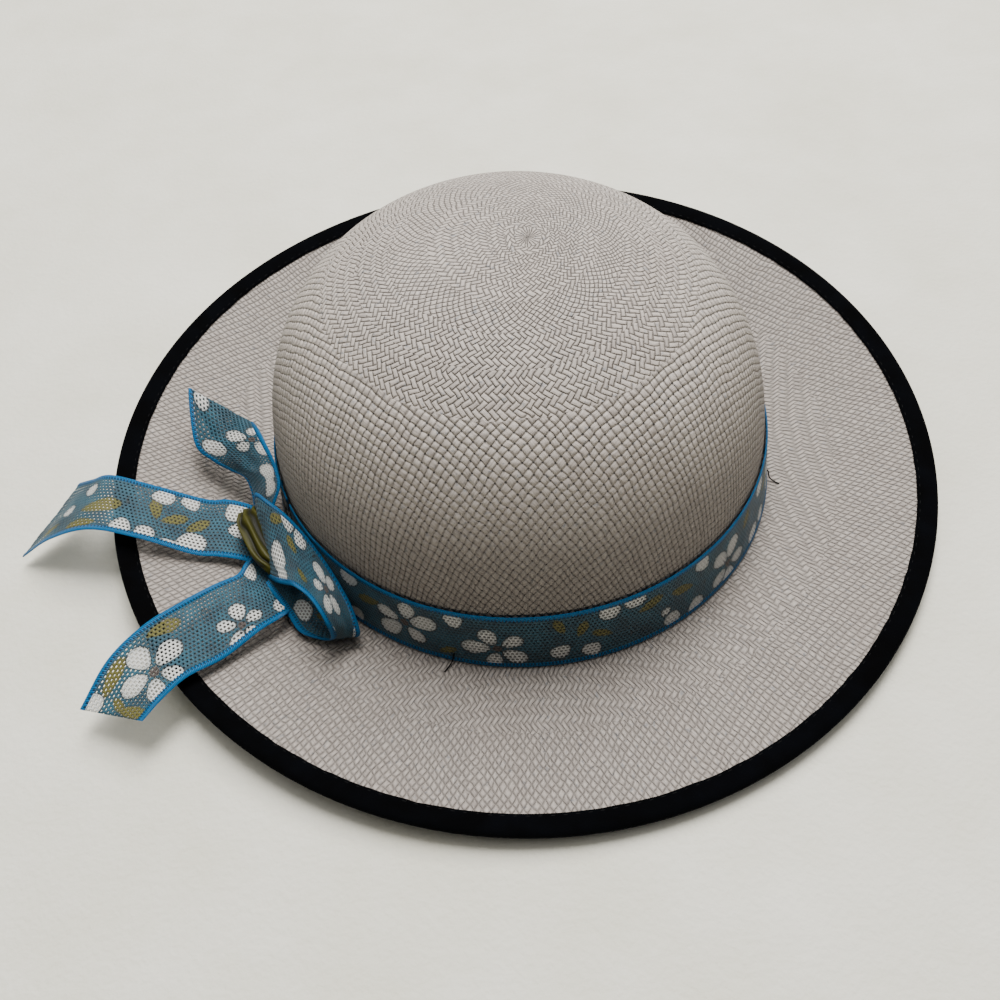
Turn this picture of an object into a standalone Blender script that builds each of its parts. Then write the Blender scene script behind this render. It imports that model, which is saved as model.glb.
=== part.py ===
"""Panama hat: a woven straw crown and brim in one piece, a wired velvet binding,
a sweatband, and a printed mesh ribbon tied in a bow at the side.

Metres, +Z up. The origin is the centre of the head opening, in the plane that the hat
rests on. +X is the wearer's side away from the bow, and +Y is the back.
"""

import math

import bmesh
import bpy
from mathutils import Vector

MM = 0.001

# Driving dimensions of the straw
CROWN_RADIUS = 95.8 * MM       # outside, across the sides
CROWN_HEIGHT = 110.0 * MM      # brim's upper face to the top of the dome
CROWN_SQUARENESS = 3.14        # how long the wall stays upright before it turns in
CROWN_ROUNDNESS = 2.2          # how round the top of the dome is
CROWN_LEAN = -0.025            # the dome leans a little towards the bow
HEADLINE_FLARE = 0.024         # the wall opens by this share at its foot
FLARE_HEIGHT = 27.5 * MM
HEADLINE_FILLET = 1.5 * MM
HEADLINE_FLAT = 4.0 * MM       # level ring that the hat rests on
HEAD_OVAL = 1.022              # front to back over side to side
BRIM_RADIUS = 162.5 * MM       # to the outside of the binding
STRAW = 1.2 * MM               # thickness of the weave

# The brim's shape: heights of its edge over the headline
BRIM_RISE = 13.1 * MM
BACK_LIFT = 6.6 * MM
BOW_SIDE_LIFT = 2.1 * MM
SIDES_LIFT = 0.85 * MM
DIAGONAL_LIFT = 1.5 * MM

# Binding and the wire that it holds
BINDING_WIDTH = 7.7 * MM
BINDING_CLOTH = 0.7 * MM
BINDING_LOFT = 0.35 * MM       # clearance between the cloth and the straw
WIRE = 0.8 * MM
JOINER_WALL = 0.25 * MM
JOINER_CLEARANCE = 0.25 * MM
JOINER_LENGTH = 12.0 * MM
WIRE_CLEARANCE = 0.4 * MM      # wire or joiner to the straw's edge and to the fold
THREAD = 0.5 * MM
STITCH_INSET = 1.0 * MM        # binding's stitching to the cloth's lip

# Sweatband
SWEATBAND_HEIGHT = 32.0 * MM
SWEATBAND_CLOTH = 0.9 * MM
SWEATBAND_CLEARANCE = 0.5 * MM
SWEATBAND_FOOT = 1.6 * MM
SWEATBAND_HEM = 1.5 * MM       # stitching over the sweatband's foot
SWEATBAND_BUTT = 1.0 * MM
TAPE_WIDTH = 14.0 * MM
TAPE_FOOT = 3.0 * MM
TAPE_TOP = 1.0 * MM            # below the sweatband's upper edge

# Ribbon: the band round the crown and the bow's loops and tails are one cut
RIBBON_WIDTH = 27.0 * MM
RIBBON_CLOTH = 0.7 * MM
RIBBON_EDGE = 1.2 * MM         # wired, overlocked edge
EDGE_CLEARANCE = 0.3 * MM
BAND_CLEARANCE = 0.4 * MM
BAND_FOOT = 0.7 * MM           # band's lower edge over the brim
BAND_GAP = 3.0 * MM            # between the band's two ends, behind the bow

# Bow
BOW_AZIMUTH = math.radians(205.5)
CORE_LENGTH = 31.0 * MM
CORE_DEPTH = 14.0 * MM
CORE_HEIGHT = 8.0 * MM
CORE_FOOT = 1.86 * MM          # underside of the core over the brim, under its outer face
CORE_CLEARANCE = 0.8 * MM
CORE_ROUNDING = 2.4 * MM
WRAP_WIDTH = 9.0 * MM
WRAP_CLOTH = 0.8 * MM
TACK_AZIMUTHS = {"front": 254.0, "side": 350.0, "back": 75.0, "rear_bow_side": 150.0}
# A tack's stitch: height over the brim, and reach out from the band's face
TACK_STITCH = [(4.5 * MM, 0.0), (2.5 * MM, 0.0), (1.2 * MM, 0.3 * MM), (0.9 * MM, 2.5 * MM)]

ROUND_STEPS = 60
DOME_STEPS = 11
BRIM_STEPS = 4
WRAP_STEPS = 20
SLEEVE_STEPS = 10
SLOPE_STEP = 0.2 * MM          # how far apart the dome's slope is taken
MERGE = 0.01 * MM
LEAST_SLANT = 0.3              # an edge never counts as more aslant than this

BINDING_CHANNEL = max(STRAW, WIRE + 2 * (JOINER_CLEARANCE + JOINER_WALL)) + 2 * BINDING_LOFT
CHANNEL_END = BRIM_RADIUS - BINDING_CLOTH
WIRE_HOUSING = WIRE / 2 + JOINER_CLEARANCE + JOINER_WALL + WIRE_CLEARANCE
WIRE_RADIUS = CHANNEL_END - WIRE_HOUSING
STRAW_EDGE = WIRE_RADIUS - WIRE_HOUSING
FLAT_START = CROWN_RADIUS * (1 + HEADLINE_FLARE) + HEADLINE_FILLET
FLAT_END = FLAT_START + HEADLINE_FLAT
KNOT_REACH = BAND_CLEARANCE + RIBBON_EDGE + CORE_CLEARANCE + CORE_DEPTH


def clear_scene():
    for item in list(bpy.data.objects):
        bpy.data.objects.remove(item, do_unlink=True)


def new_collection(name):
    made = bpy.data.collections.new(name)
    bpy.context.scene.collection.children.link(made)
    return made


def finish(name, colour, roughness, metallic=0.0):
    material = bpy.data.materials.new(name)
    material.use_nodes = True
    shader = material.node_tree.nodes["Principled BSDF"]
    shader.inputs["Base Color"].default_value = (*colour, 1.0)
    shader.inputs["Roughness"].default_value = roughness
    shader.inputs["Metallic"].default_value = metallic
    return material


def crown_radius(height):
    """Outside radius of the dome at a height over the brim's upper face."""
    t = min(max(height / CROWN_HEIGHT, 0.0), 1.0)
    flare = 1 + HEADLINE_FLARE * max(1 - t * CROWN_HEIGHT / FLARE_HEIGHT, 0.0) ** 2
    return CROWN_RADIUS * (1 - t**CROWN_SQUARENESS) ** (1 / CROWN_ROUNDNESS) * flare


def brim_lift(azimuth):
    """How far the brim's edge stands over the headline at an azimuth."""
    once = BACK_LIFT * math.sin(azimuth) - BOW_SIDE_LIFT * math.cos(azimuth)
    twice = SIDES_LIFT * math.cos(2 * azimuth) + DIAGONAL_LIFT * math.sin(2 * azimuth)
    return BRIM_RISE + once + twice


def lifted(radius, azimuth):
    """How far the brim stands over the headline at a radius."""
    return max(radius - FLAT_END, 0.0) / (BRIM_RADIUS - FLAT_END) * brim_lift(azimuth)


def shaped(point):
    """Takes a point of the round, level hat to the real one: oval, leaning, with a lifted brim."""
    x, y, z = point
    radius = math.hypot(x, y)
    azimuth = math.atan2(y, x)
    lean = CROWN_LEAN * max(z - STRAW, 0.0) if radius <= FLAT_END else 0.0
    return Vector((x + lean, y * HEAD_OVAL, z + lifted(radius, azimuth)))


def polar(radius, azimuth, z):
    return Vector((radius * math.cos(azimuth), radius * math.sin(azimuth), z))


def add_mesh(bm, name, material, angle=40.0):
    bm.normal_update()
    bmesh.ops.recalc_face_normals(bm, faces=bm.faces)
    mesh = bpy.data.meshes.new(name)
    bm.to_mesh(mesh)
    bm.free()
    mesh.materials.append(material)
    mesh.shade_smooth()
    mesh.set_sharp_from_angle(angle=math.radians(angle))
    part = bpy.data.objects.new(name, mesh)
    hat.objects.link(part)
    return part


def turned(name, outline, material, closed=True):
    """A profile of (radius, height) turned about Z, then shaped as the hat is."""
    bm = bmesh.new()
    verts = [bm.verts.new((r, 0, z)) for r, z in outline]
    edges = [bm.edges.new(pair) for pair in zip(verts, verts[1:])]
    if closed:
        edges.append(bm.edges.new((verts[-1], verts[0])))
    bmesh.ops.spin(
        bm, geom=verts + edges, cent=(0, 0, 0), axis=(0, 0, 1),
        angle=math.tau, steps=ROUND_STEPS, use_merge=True,
    )
    bmesh.ops.remove_doubles(bm, verts=bm.verts, dist=MERGE)
    for vert in bm.verts:
        vert.co = shaped(vert.co)
    return add_mesh(bm, name, material)


def tube(name, points, diameter, material, closed=False):
    curve = bpy.data.curves.new(name, "CURVE")
    curve.dimensions = "3D"
    curve.bevel_depth = diameter / 2
    curve.bevel_resolution = 1
    curve.use_fill_caps = True
    spline = curve.splines.new("POLY")
    spline.points.add(len(points) - 1)
    for place, point in zip(spline.points, points):
        place.co = (*point, 1.0)
    spline.use_cyclic_u = closed
    curve.materials.append(material)
    part = bpy.data.objects.new(name, curve)
    hat.objects.link(part)
    return part


def cloth(name, rows, thickness, material):
    """A sheet lofted through rows of points and thickened about its middle."""
    bm = bmesh.new()
    grid = [[bm.verts.new(point) for point in row] for row in rows]
    for near, far in zip(grid, grid[1:]):
        for i in range(len(near) - 1):
            bm.faces.new((near[i], near[i + 1], far[i + 1], far[i]))
    part = add_mesh(bm, name, material)
    wall = part.modifiers.new("thickness", "SOLIDIFY")
    wall.thickness = thickness
    wall.offset = 0.0
    wall.use_even_offset = True
    return part


def through(knots, steps):
    """Points on a smooth curve through the knots, with a number of steps between them."""
    ends = [2 * knots[0] - knots[1], *knots, 2 * knots[-1] - knots[-2]]
    points = []
    for a, b, c, d in zip(ends, ends[1:], ends[2:], ends[3:]):
        for step in range(steps):
            t = step / steps
            points.append(
                0.5 * (2 * b + (c - a) * t + (2 * a - 5 * b + 4 * c - d) * t**2
                       + (3 * b - a - 3 * c + d) * t**3)
            )
    return [*points, knots[-1]]


def ribbon(name, placed, sections, steps=3):
    """A length of the wired ribbon through pairs of edge points, as three pieces:
    the mesh, and its two overlocked edges, each clear of it."""
    first = through([placed(*a) for a, _ in sections], steps)
    second = through([placed(*b) for _, b in sections], steps)
    mesh_rows, first_edge, second_edge = [], [], []
    for i, (a, b) in enumerate(zip(first, second)):
        across = (b - a).normalized()
        # Where the edge runs aslant to the row, a longer step along the row keeps the gap.
        slants = [
            across.cross((side[min(i + 1, len(side) - 1)] - side[max(i - 1, 0)]).normalized()).length
            for side in (first, second)
        ]
        near, far = [across / max(slant, LEAST_SLANT) for slant in slants]
        inset = RIBBON_EDGE + EDGE_CLEARANCE
        mesh_rows.append([a + inset * near, (a + b) / 2, b - inset * far])
        first_edge.append(a + RIBBON_EDGE / 2 * near)
        second_edge.append(b - RIBBON_EDGE / 2 * far)
    cloth(name, mesh_rows, RIBBON_CLOTH, RIBBON)
    tube(name + "_edge_inner", first_edge, RIBBON_EDGE, EDGE)
    tube(name + "_edge_outer", second_edge, RIBBON_EDGE, EDGE)


def straw_profile(inset):
    """The dome and brim's profile, from the dome's top to the brim's edge, as far under
    the outer face as the inset."""
    base = STRAW - inset
    points = []
    for i in range(DOME_STEPS + 1):
        height = CROWN_HEIGHT * (1 - (i / DOME_STEPS) ** 2)
        if height < HEADLINE_FILLET:
            break
        low, high = height - SLOPE_STEP, min(height + SLOPE_STEP, CROWN_HEIGHT)
        slope = Vector((crown_radius(high) - crown_radius(low), high - low)).normalized()
        if i == 0:
            slope = Vector((-1.0, 0.0))
        points.append((crown_radius(height) - inset * slope.y, STRAW + height + inset * slope.x))
    for degrees in (20, 55):
        turn = math.radians(degrees)
        reach = HEADLINE_FILLET + inset
        points.append((FLAT_START - reach * math.cos(turn), base + reach * (1 - math.sin(turn))))
    points.append((FLAT_START, base))
    points.append((FLAT_END, base))
    for i in range(1, BRIM_STEPS + 1):
        points.append((FLAT_END + (STRAW_EDGE - FLAT_END) * i / BRIM_STEPS, base))
    return points


def straw_body():
    outer = straw_profile(0.0)
    inner = straw_profile(STRAW)
    return turned("straw_body", outer + inner[::-1], STRAW_FINISH, closed=False)


def brim_binding():
    middle = STRAW / 2
    half = BINDING_CHANNEL / 2
    outside = half + BINDING_CLOTH
    lip = BRIM_RADIUS - BINDING_WIDTH
    outline = [
        (lip, middle + outside),
        (BRIM_RADIUS - outside / 2, middle + outside),
        (BRIM_RADIUS, middle + outside / 2),
        (BRIM_RADIUS, middle - outside / 2),
        (BRIM_RADIUS - outside / 2, middle - outside),
        (lip, middle - outside),
        (lip, middle - half),
        (CHANNEL_END, middle - half),
        (CHANNEL_END, middle + half),
        (lip, middle + half),
    ]
    turned("brim_binding", outline, VELVET)
    ring = [
        shaped(polar(lip + STITCH_INSET, math.tau * i / ROUND_STEPS,
                     middle + outside + EDGE_CLEARANCE + THREAD / 2))
        for i in range(ROUND_STEPS)
    ]
    tube("binding_stitching", ring, THREAD, BLACK_THREAD, closed=True)


def brim_wire():
    middle = STRAW / 2
    ring = [
        shaped(polar(WIRE_RADIUS, math.tau * i / ROUND_STEPS, middle)) for i in range(ROUND_STEPS)
    ]
    tube("brim_wire", ring, WIRE, STEEL, closed=True)


def wire_joiner():
    """A crimp sleeve over the wire's two ends, straight between two steps of the wire's ring."""
    step = math.tau / ROUND_STEPS
    start = shaped(polar(WIRE_RADIUS, math.pi / 2, STRAW / 2))
    end = shaped(polar(WIRE_RADIUS, math.pi / 2 + step, STRAW / 2))
    along = (end - start).normalized()
    bore = WIRE / 2 + JOINER_CLEARANCE
    bm = bmesh.new()
    outline = [(bore, -0.5), (bore + JOINER_WALL, -0.5), (bore + JOINER_WALL, 0.5), (bore, 0.5)]
    verts = [bm.verts.new((r, 0, side * JOINER_LENGTH)) for r, side in outline]
    edges = [bm.edges.new((verts[i], verts[(i + 1) % 4])) for i in range(4)]
    bmesh.ops.spin(
        bm, geom=verts + edges, cent=(0, 0, 0), axis=(0, 0, 1),
        angle=math.tau, steps=SLEEVE_STEPS, use_merge=True,
    )
    bmesh.ops.remove_doubles(bm, verts=bm.verts, dist=MERGE)
    sleeve = add_mesh(bm, "wire_joiner", STEEL)
    sleeve.rotation_mode = "QUATERNION"
    sleeve.rotation_quaternion = along.to_track_quat("Z", "Y")
    sleeve.location = (start + end) / 2


def wall_ring(azimuths, heights, offset):
    """Rows of points that follow the crown's wall at an offset from its outer face."""
    return [
        [shaped(polar(crown_radius(h) + offset, a, STRAW + h)) for h in heights] for a in azimuths
    ]


def open_ring(middle, gap, radius, steps=ROUND_STEPS):
    """Azimuths all the way round from one side of a gap to the other."""
    half = gap / 2 / radius
    return [middle + half + (math.tau - 2 * half) * i / steps for i in range(steps + 1)]


def sweatband():
    offset = -(STRAW + SWEATBAND_CLEARANCE + SWEATBAND_CLOTH / 2)
    # The headline's fillet takes the straw's inner face outwards, so the foot stays clear of it.
    heights = [SWEATBAND_FOOT + SWEATBAND_HEIGHT * i / 4 for i in range(5)]
    round_head = open_ring(math.pi / 2, SWEATBAND_BUTT, CROWN_RADIUS)
    cloth("sweatband", wall_ring(round_head, heights, offset), SWEATBAND_CLOTH, LEATHER)
    face = offset - SWEATBAND_CLOTH / 2 - SWEATBAND_CLEARANCE
    half = TAPE_WIDTH / 2 / CROWN_RADIUS
    across = [math.pi / 2 + half * side for side in (-1, -0.5, 0, 0.5, 1)]
    inner = [heights[0] + TAPE_FOOT, heights[2], heights[-1] - TAPE_TOP]
    cloth("sweatband_tape", wall_ring(across, inner, face - SWEATBAND_CLOTH / 2),
          SWEATBAND_CLOTH, GROSGRAIN)
    stitch_height = SWEATBAND_FOOT + SWEATBAND_HEM
    ring = wall_ring([math.tau * i / ROUND_STEPS for i in range(ROUND_STEPS)], [stitch_height],
                     face - THREAD / 2 + SWEATBAND_CLEARANCE - EDGE_CLEARANCE)
    tube("sweatband_stitching", [row[0] for row in ring], THREAD, PALE_THREAD, closed=True)


def band():
    middle = BAND_CLEARANCE + RIBBON_EDGE / 2
    low, high = BAND_FOOT, BAND_FOOT + RIBBON_WIDTH
    inset = RIBBON_EDGE + EDGE_CLEARANCE
    round_crown = open_ring(BOW_AZIMUTH, BAND_GAP, CROWN_RADIUS)
    heights = [low + inset, (low + high) / 2, high - inset]
    cloth("band_ribbon", wall_ring(round_crown, heights, middle), RIBBON_CLOTH, RIBBON)
    for name, height in (("lower", low + RIBBON_EDGE / 2), ("upper", high - RIBBON_EDGE / 2)):
        ring = wall_ring(round_crown, [height], middle)
        tube("band_edge_" + name, [row[0] for row in ring], RIBBON_EDGE, EDGE)
    reach = middle + RIBBON_EDGE / 2 + EDGE_CLEARANCE + THREAD / 2
    for name, degrees in TACK_AZIMUTHS.items():
        azimuth = math.radians(degrees)
        # A stitch over the lower edge: down the band's face, with its tail on the brim.
        stitch = [
            shaped(polar(crown_radius(h) + reach + out, azimuth, STRAW + h))
            for h, out in TACK_STITCH
        ]
        tube("band_tack_" + name, stitch, THREAD, BLACK_THREAD)


def bow_frame():
    """The bow's place: its foot on the brim, with out, along and up directions."""
    out = Vector((math.cos(BOW_AZIMUTH), math.sin(BOW_AZIMUTH) * HEAD_OVAL, 0)).normalized()
    along = Vector((0, 0, 1)).cross(out)
    wall = shaped(polar(crown_radius(BAND_FOOT) + BAND_CLEARANCE + RIBBON_EDGE, BOW_AZIMUTH, STRAW))
    return wall, out, along


def core_middle():
    """The height of the core's middle."""
    brim = STRAW + lifted(crown_radius(BAND_FOOT) + KNOT_REACH, BOW_AZIMUTH)
    return brim + CORE_FOOT + CORE_HEIGHT / 2


def bow_core():
    """The ribbon gathered inside the knot: a bar with its edges rounded over."""
    wall, out, along = bow_frame()
    centre = wall + out * (CORE_CLEARANCE + CORE_DEPTH / 2)
    centre.z = core_middle()
    bm = bmesh.new()
    bmesh.ops.create_cube(bm, size=1.0)
    for vert in bm.verts:
        x, y, z = vert.co
        rise = Vector((0, 0, z * CORE_HEIGHT))
        vert.co = centre + out * (x * CORE_DEPTH) + along * (y * CORE_LENGTH) + rise
    part = add_mesh(bm, "bow_core", RIBBON)
    rounding = part.modifiers.new("rounding", "BEVEL")
    rounding.width = CORE_ROUNDING
    rounding.segments = 2


def centre_wrap():
    """Satin ribbon round the core, closed on itself under the bow."""
    wall, out, along = bow_frame()
    centre = wall + out * (CORE_CLEARANCE + CORE_DEPTH - WRAP_WIDTH / 2)
    centre.z = core_middle()
    half_length = CORE_LENGTH / 2 + CORE_CLEARANCE + WRAP_CLOTH
    half_height = CORE_HEIGHT / 2 + CORE_CLEARANCE + WRAP_CLOTH
    bm = bmesh.new()
    rows = []
    for i in range(WRAP_STEPS):
        turn = math.tau * i / WRAP_STEPS
        # A superellipse: flat over the core and round at its ends
        c, s = math.cos(turn), math.sin(turn)
        across = math.copysign(abs(c) ** 0.5, c)
        rise = math.copysign(abs(s) ** 0.5, s)
        rows.append([
            bm.verts.new(centre + out * side * WRAP_WIDTH / 2
                         + along * across * (half_length - inside)
                         + Vector((0, 0, rise * (half_height - inside))))
            for side, inside in ((-1, 0), (1, 0), (1, WRAP_CLOTH), (-1, WRAP_CLOTH))
        ])
    for near, far in zip(rows, rows[1:] + rows[:1]):
        for i in range(4):
            bm.faces.new((near[i], near[(i + 1) % 4], far[(i + 1) % 4], far[i]))
    add_mesh(bm, "centre_wrap", SATIN)


def over_the_brim(reach, along, rise):
    """A tail's point: its reach from the knot's face, 0, to the brim's edge, 1, then its way
    along the knot and its rise over the brim, in ribbon widths."""
    _, out, tangent = bow_frame()
    face = crown_radius(BAND_FOOT) + KNOT_REACH
    point = out * (face + reach * (BRIM_RADIUS - face)) + tangent * along * RIBBON_WIDTH
    radius = math.hypot(point.x, point.y / HEAD_OVAL)
    azimuth = math.atan2(point.y / HEAD_OVAL, point.x)
    point.z = STRAW + rise * RIBBON_WIDTH + lifted(radius, azimuth)
    return point


def by_the_wall(gap, along, rise):
    """A loop's point, in ribbon widths: its gap to the crown's wall, its way round the wall
    from the bow's middle, and its rise over the brim."""
    azimuth = BOW_AZIMUTH + along * RIBBON_WIDTH / CROWN_RADIUS
    radius = CROWN_RADIUS + gap * RIBBON_WIDTH
    point = polar(radius, azimuth, STRAW + rise * RIBBON_WIDTH + lifted(radius, azimuth))
    point.y *= HEAD_OVAL
    return point


def bow_tails_and_loops():
    """The first edge point of each pair is on the crown's side or at the back."""
    ribbon("left_tail", over_the_brim, [
        ((0.045, -1.033, 0.265), (0.291, -0.134, 0.148)),
        ((0.185, -1.155, 0.213), (0.459, -0.280, 0.146)),
        ((0.494, -1.505, 0.288), (0.791, -0.672, 0.280)),
        ((0.794, -1.889, 0.285), (1.105, -1.047, 0.230)),
        ((0.943, -2.061, 0.091), (1.423, -1.406, -0.215)),
        ((1.056, -2.241, -0.127), (1.690, -1.699, -0.802)),
    ])
    ribbon("front_tail", over_the_brim, [
        ((0.209, 0.411, 0.320), (0.060, 1.344, 0.305)),
        ((0.394, 0.497, 0.339), (0.217, 1.413, 0.266)),
        ((0.658, 0.701, 0.414), (0.523, 1.601, 0.164)),
        ((0.960, 0.830, 0.311), (0.806, 1.747, 0.200)),
        ((1.279, 1.026, 0.050), (1.009, 1.899, 0.125)),
        ((1.575, 1.388, -0.318), (1.190, 2.052, -0.001)),
    ])
    ribbon("upper_loop", by_the_wall, [
        ((0.055, -0.245, 1.159), (0.553, -0.949, 0.572)),
        ((0.049, -0.676, 1.141), (0.750, -1.099, 0.482)),
        ((0.140, -1.054, 1.122), (1.025, -1.269, 0.444)),
        ((0.239, -1.324, 1.104), (1.305, -1.500, 0.458)),
        ((0.341, -1.513, 1.034), (1.499, -2.065, 0.709)),
        ((0.341, -1.513, 0.904), (1.412, -1.995, 0.568)),
        ((0.310, -1.178, 0.802), (1.045, -1.607, 0.397)),
        ((0.313, -0.841, 0.764), (0.656, -1.242, 0.321)),
    ])
    ribbon("lower_loop", by_the_wall, [
        ((0.285, -0.221, 0.937), (0.696, 0.789, 0.574)),
        ((0.154, 0.098, 0.974), (0.663, 0.951, 0.713)),
        ((0.075, 0.467, 0.956), (0.612, 1.114, 0.836)),
        ((0.059, 0.876, 0.881), (0.585, 1.336, 0.863)),
        ((0.131, 1.319, 0.770), (0.609, 1.523, 0.786)),
        ((0.240, 1.648, 0.585), (0.642, 1.635, 0.578)),
        ((0.358, 1.839, 0.351), (0.661, 1.640, 0.353)),
        ((0.415, 1.822, 0.175), (0.684, 1.495, 0.142)),
        ((0.379, 1.568, 0.124), (0.765, 1.244, 0.160)),
        ((0.338, 1.169, 0.150), (0.724, 0.986, 0.238)),
        ((0.347, 0.767, 0.203), (0.670, 0.787, 0.302)),
    ])


clear_scene()
hat = new_collection("panama_hat")

STRAW_FINISH = finish("straw", (0.56, 0.51, 0.49), 0.75)
VELVET = finish("velvet", (0.012, 0.012, 0.016), 0.9)
BLACK_THREAD = finish("black_thread", (0.02, 0.02, 0.02), 0.7)
STEEL = finish("steel_wire", (0.55, 0.55, 0.56), 0.35, metallic=1.0)
LEATHER = finish("sweatband_cloth", (0.62, 0.57, 0.50), 0.8)
GROSGRAIN = finish("tape_cloth", (0.70, 0.68, 0.63), 0.85)
PALE_THREAD = finish("pale_thread", (0.75, 0.72, 0.66), 0.7)
RIBBON = finish("ribbon_mesh", (0.05, 0.20, 0.28), 0.7)
EDGE = finish("ribbon_edge", (0.02, 0.27, 0.48), 0.55)
SATIN = finish("wrap_satin", (0.17, 0.17, 0.02), 0.35)

straw_body()
brim_binding()
brim_wire()
wire_joiner()
sweatband()
band()
bow_core()
centre_wrap()
bow_tails_and_loops()
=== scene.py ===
"""A woven panama hat with a wired velvet binding and a printed mesh ribbon, tied at the side.

Metres, +Z up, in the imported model's frame: the origin is the centre of the head opening, on
the plane that the hat rests on. +Y is the back of the hat, and -X the side with the bow.
"""

import math

import bmesh
import bpy
import numpy as np
from mathutils import Matrix, Vector, noise


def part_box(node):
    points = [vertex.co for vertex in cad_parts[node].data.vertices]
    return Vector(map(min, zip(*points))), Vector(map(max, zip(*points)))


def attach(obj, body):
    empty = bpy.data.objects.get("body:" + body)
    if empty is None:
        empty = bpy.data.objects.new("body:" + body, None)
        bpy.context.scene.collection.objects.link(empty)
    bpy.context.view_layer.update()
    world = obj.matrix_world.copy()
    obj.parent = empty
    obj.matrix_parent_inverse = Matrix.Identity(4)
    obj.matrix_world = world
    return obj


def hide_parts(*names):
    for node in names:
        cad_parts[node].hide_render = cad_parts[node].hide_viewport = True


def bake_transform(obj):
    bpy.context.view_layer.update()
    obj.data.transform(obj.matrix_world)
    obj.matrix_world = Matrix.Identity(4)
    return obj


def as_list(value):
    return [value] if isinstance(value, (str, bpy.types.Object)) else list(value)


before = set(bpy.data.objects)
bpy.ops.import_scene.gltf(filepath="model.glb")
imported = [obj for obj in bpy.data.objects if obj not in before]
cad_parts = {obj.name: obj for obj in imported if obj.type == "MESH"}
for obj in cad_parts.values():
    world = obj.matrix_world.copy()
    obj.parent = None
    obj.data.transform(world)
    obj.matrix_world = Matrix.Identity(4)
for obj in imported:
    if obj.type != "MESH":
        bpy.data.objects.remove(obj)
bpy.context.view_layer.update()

# ---------------------------------------------------------------- straw body
# The crown and brim are one piece, woven from the top of the dome outwards in split palm
# straw: four fans of strands that cross at right angles, with bands of herringbone between
# bands of plain weave, then blocked on a hat form into an oval dome and a lifted brim.
MM = 0.001
CROWN_RADIUS, CROWN_HEIGHT = 95.8 * MM, 110.0 * MM
CROWN_SQUARENESS, CROWN_ROUNDNESS, CROWN_LEAN = 3.14, 2.2, -0.025
HEADLINE_FLARE, FLARE_HEIGHT, HEADLINE_FILLET = 0.024, 27.5 * MM, 1.5 * MM
HEAD_OVAL, BRIM_RADIUS, STRAW = 1.022, 162.5 * MM, 1.2 * MM
BRIM_RISE, BACK_LIFT, BOW_SIDE_LIFT = 13.1 * MM, 6.6 * MM, 2.1 * MM
SIDES_LIFT, DIAGONAL_LIFT = 0.85 * MM, 1.5 * MM
FLAT_START = CROWN_RADIUS * (1 + HEADLINE_FLARE) + HEADLINE_FILLET
FLAT_END = FLAT_START + 4.0 * MM
STRAW_EDGE = BRIM_RADIUS - 3.3 * MM
DOME_STEPS, BRIM_STEPS, ROUND_STEPS = 56, 22, 192
WEAVE_CENTRE = Vector((9.7, 0.6)) * MM     # the weave starts a little off the dome's top
WEAVE_CENTRE_FADE = 40 * MM


def crown_radius(height):
    """Outside radius of the dome at a height over the brim's upper face."""
    t = min(max(height / CROWN_HEIGHT, 0.0), 1.0)
    flare = 1 + HEADLINE_FLARE * max(1 - height / FLARE_HEIGHT, 0.0) ** 2
    return CROWN_RADIUS * (1 - t**CROWN_SQUARENESS) ** (1 / CROWN_ROUNDNESS) * flare


def lifted(radius, azimuth):
    """How far the brim stands over the headline at a radius."""
    once = BACK_LIFT * math.sin(azimuth) - BOW_SIDE_LIFT * math.cos(azimuth)
    twice = SIDES_LIFT * math.cos(2 * azimuth) + DIAGONAL_LIFT * math.sin(2 * azimuth)
    out = max(radius - FLAT_END, 0.0) / (BRIM_RADIUS - FLAT_END)
    return out * (BRIM_RISE + once + twice)


def shaped(point):
    """Takes a point of the round, level hat to the blocked one: oval, leaning, brim lifted."""
    x, y, z = point
    radius, azimuth = math.hypot(x, y), math.atan2(y, x)
    lean = CROWN_LEAN * max(z - STRAW, 0.0) if radius <= FLAT_END else 0.0
    return Vector((x + lean, y * HEAD_OVAL, z + lifted(radius, azimuth)))


def spun(bm, outline, steps, closed):
    """Turns a profile of (radius, height, way along it) about Z. Layer way keeps the last."""
    way = bm.verts.layers.float.get("way") or bm.verts.layers.float.new("way")
    verts = [bm.verts.new((r, 0, z)) for r, z, _ in outline]
    for vert, (_, _, distance) in zip(verts, outline):
        vert[way] = distance
    edges = [bm.edges.new(pair) for pair in zip(verts, verts[1:])]
    if closed:
        edges.append(bm.edges.new((verts[-1], verts[0])))
    bmesh.ops.spin(bm, geom=verts + edges, cent=(0, 0, 0), axis=(0, 0, 1),
                   angle=math.tau, steps=steps, use_merge=True)
    bmesh.ops.remove_doubles(bm, verts=bm.verts, dist=0.01 * MM)
    return way


def place(bm, name, material, angle=50.0, recalculate=True):
    """Makes the finished piece of a bmesh."""
    if recalculate:
        bmesh.ops.recalc_face_normals(bm, faces=bm.faces)
    mesh = bpy.data.meshes.new(name)
    bm.to_mesh(mesh)
    bm.free()
    mesh.materials.append(material)
    mesh.shade_smooth()
    mesh.set_sharp_from_angle(angle=math.radians(angle))
    piece = bpy.data.objects.new(name, mesh)
    bpy.context.scene.collection.objects.link(piece)
    return piece


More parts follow.
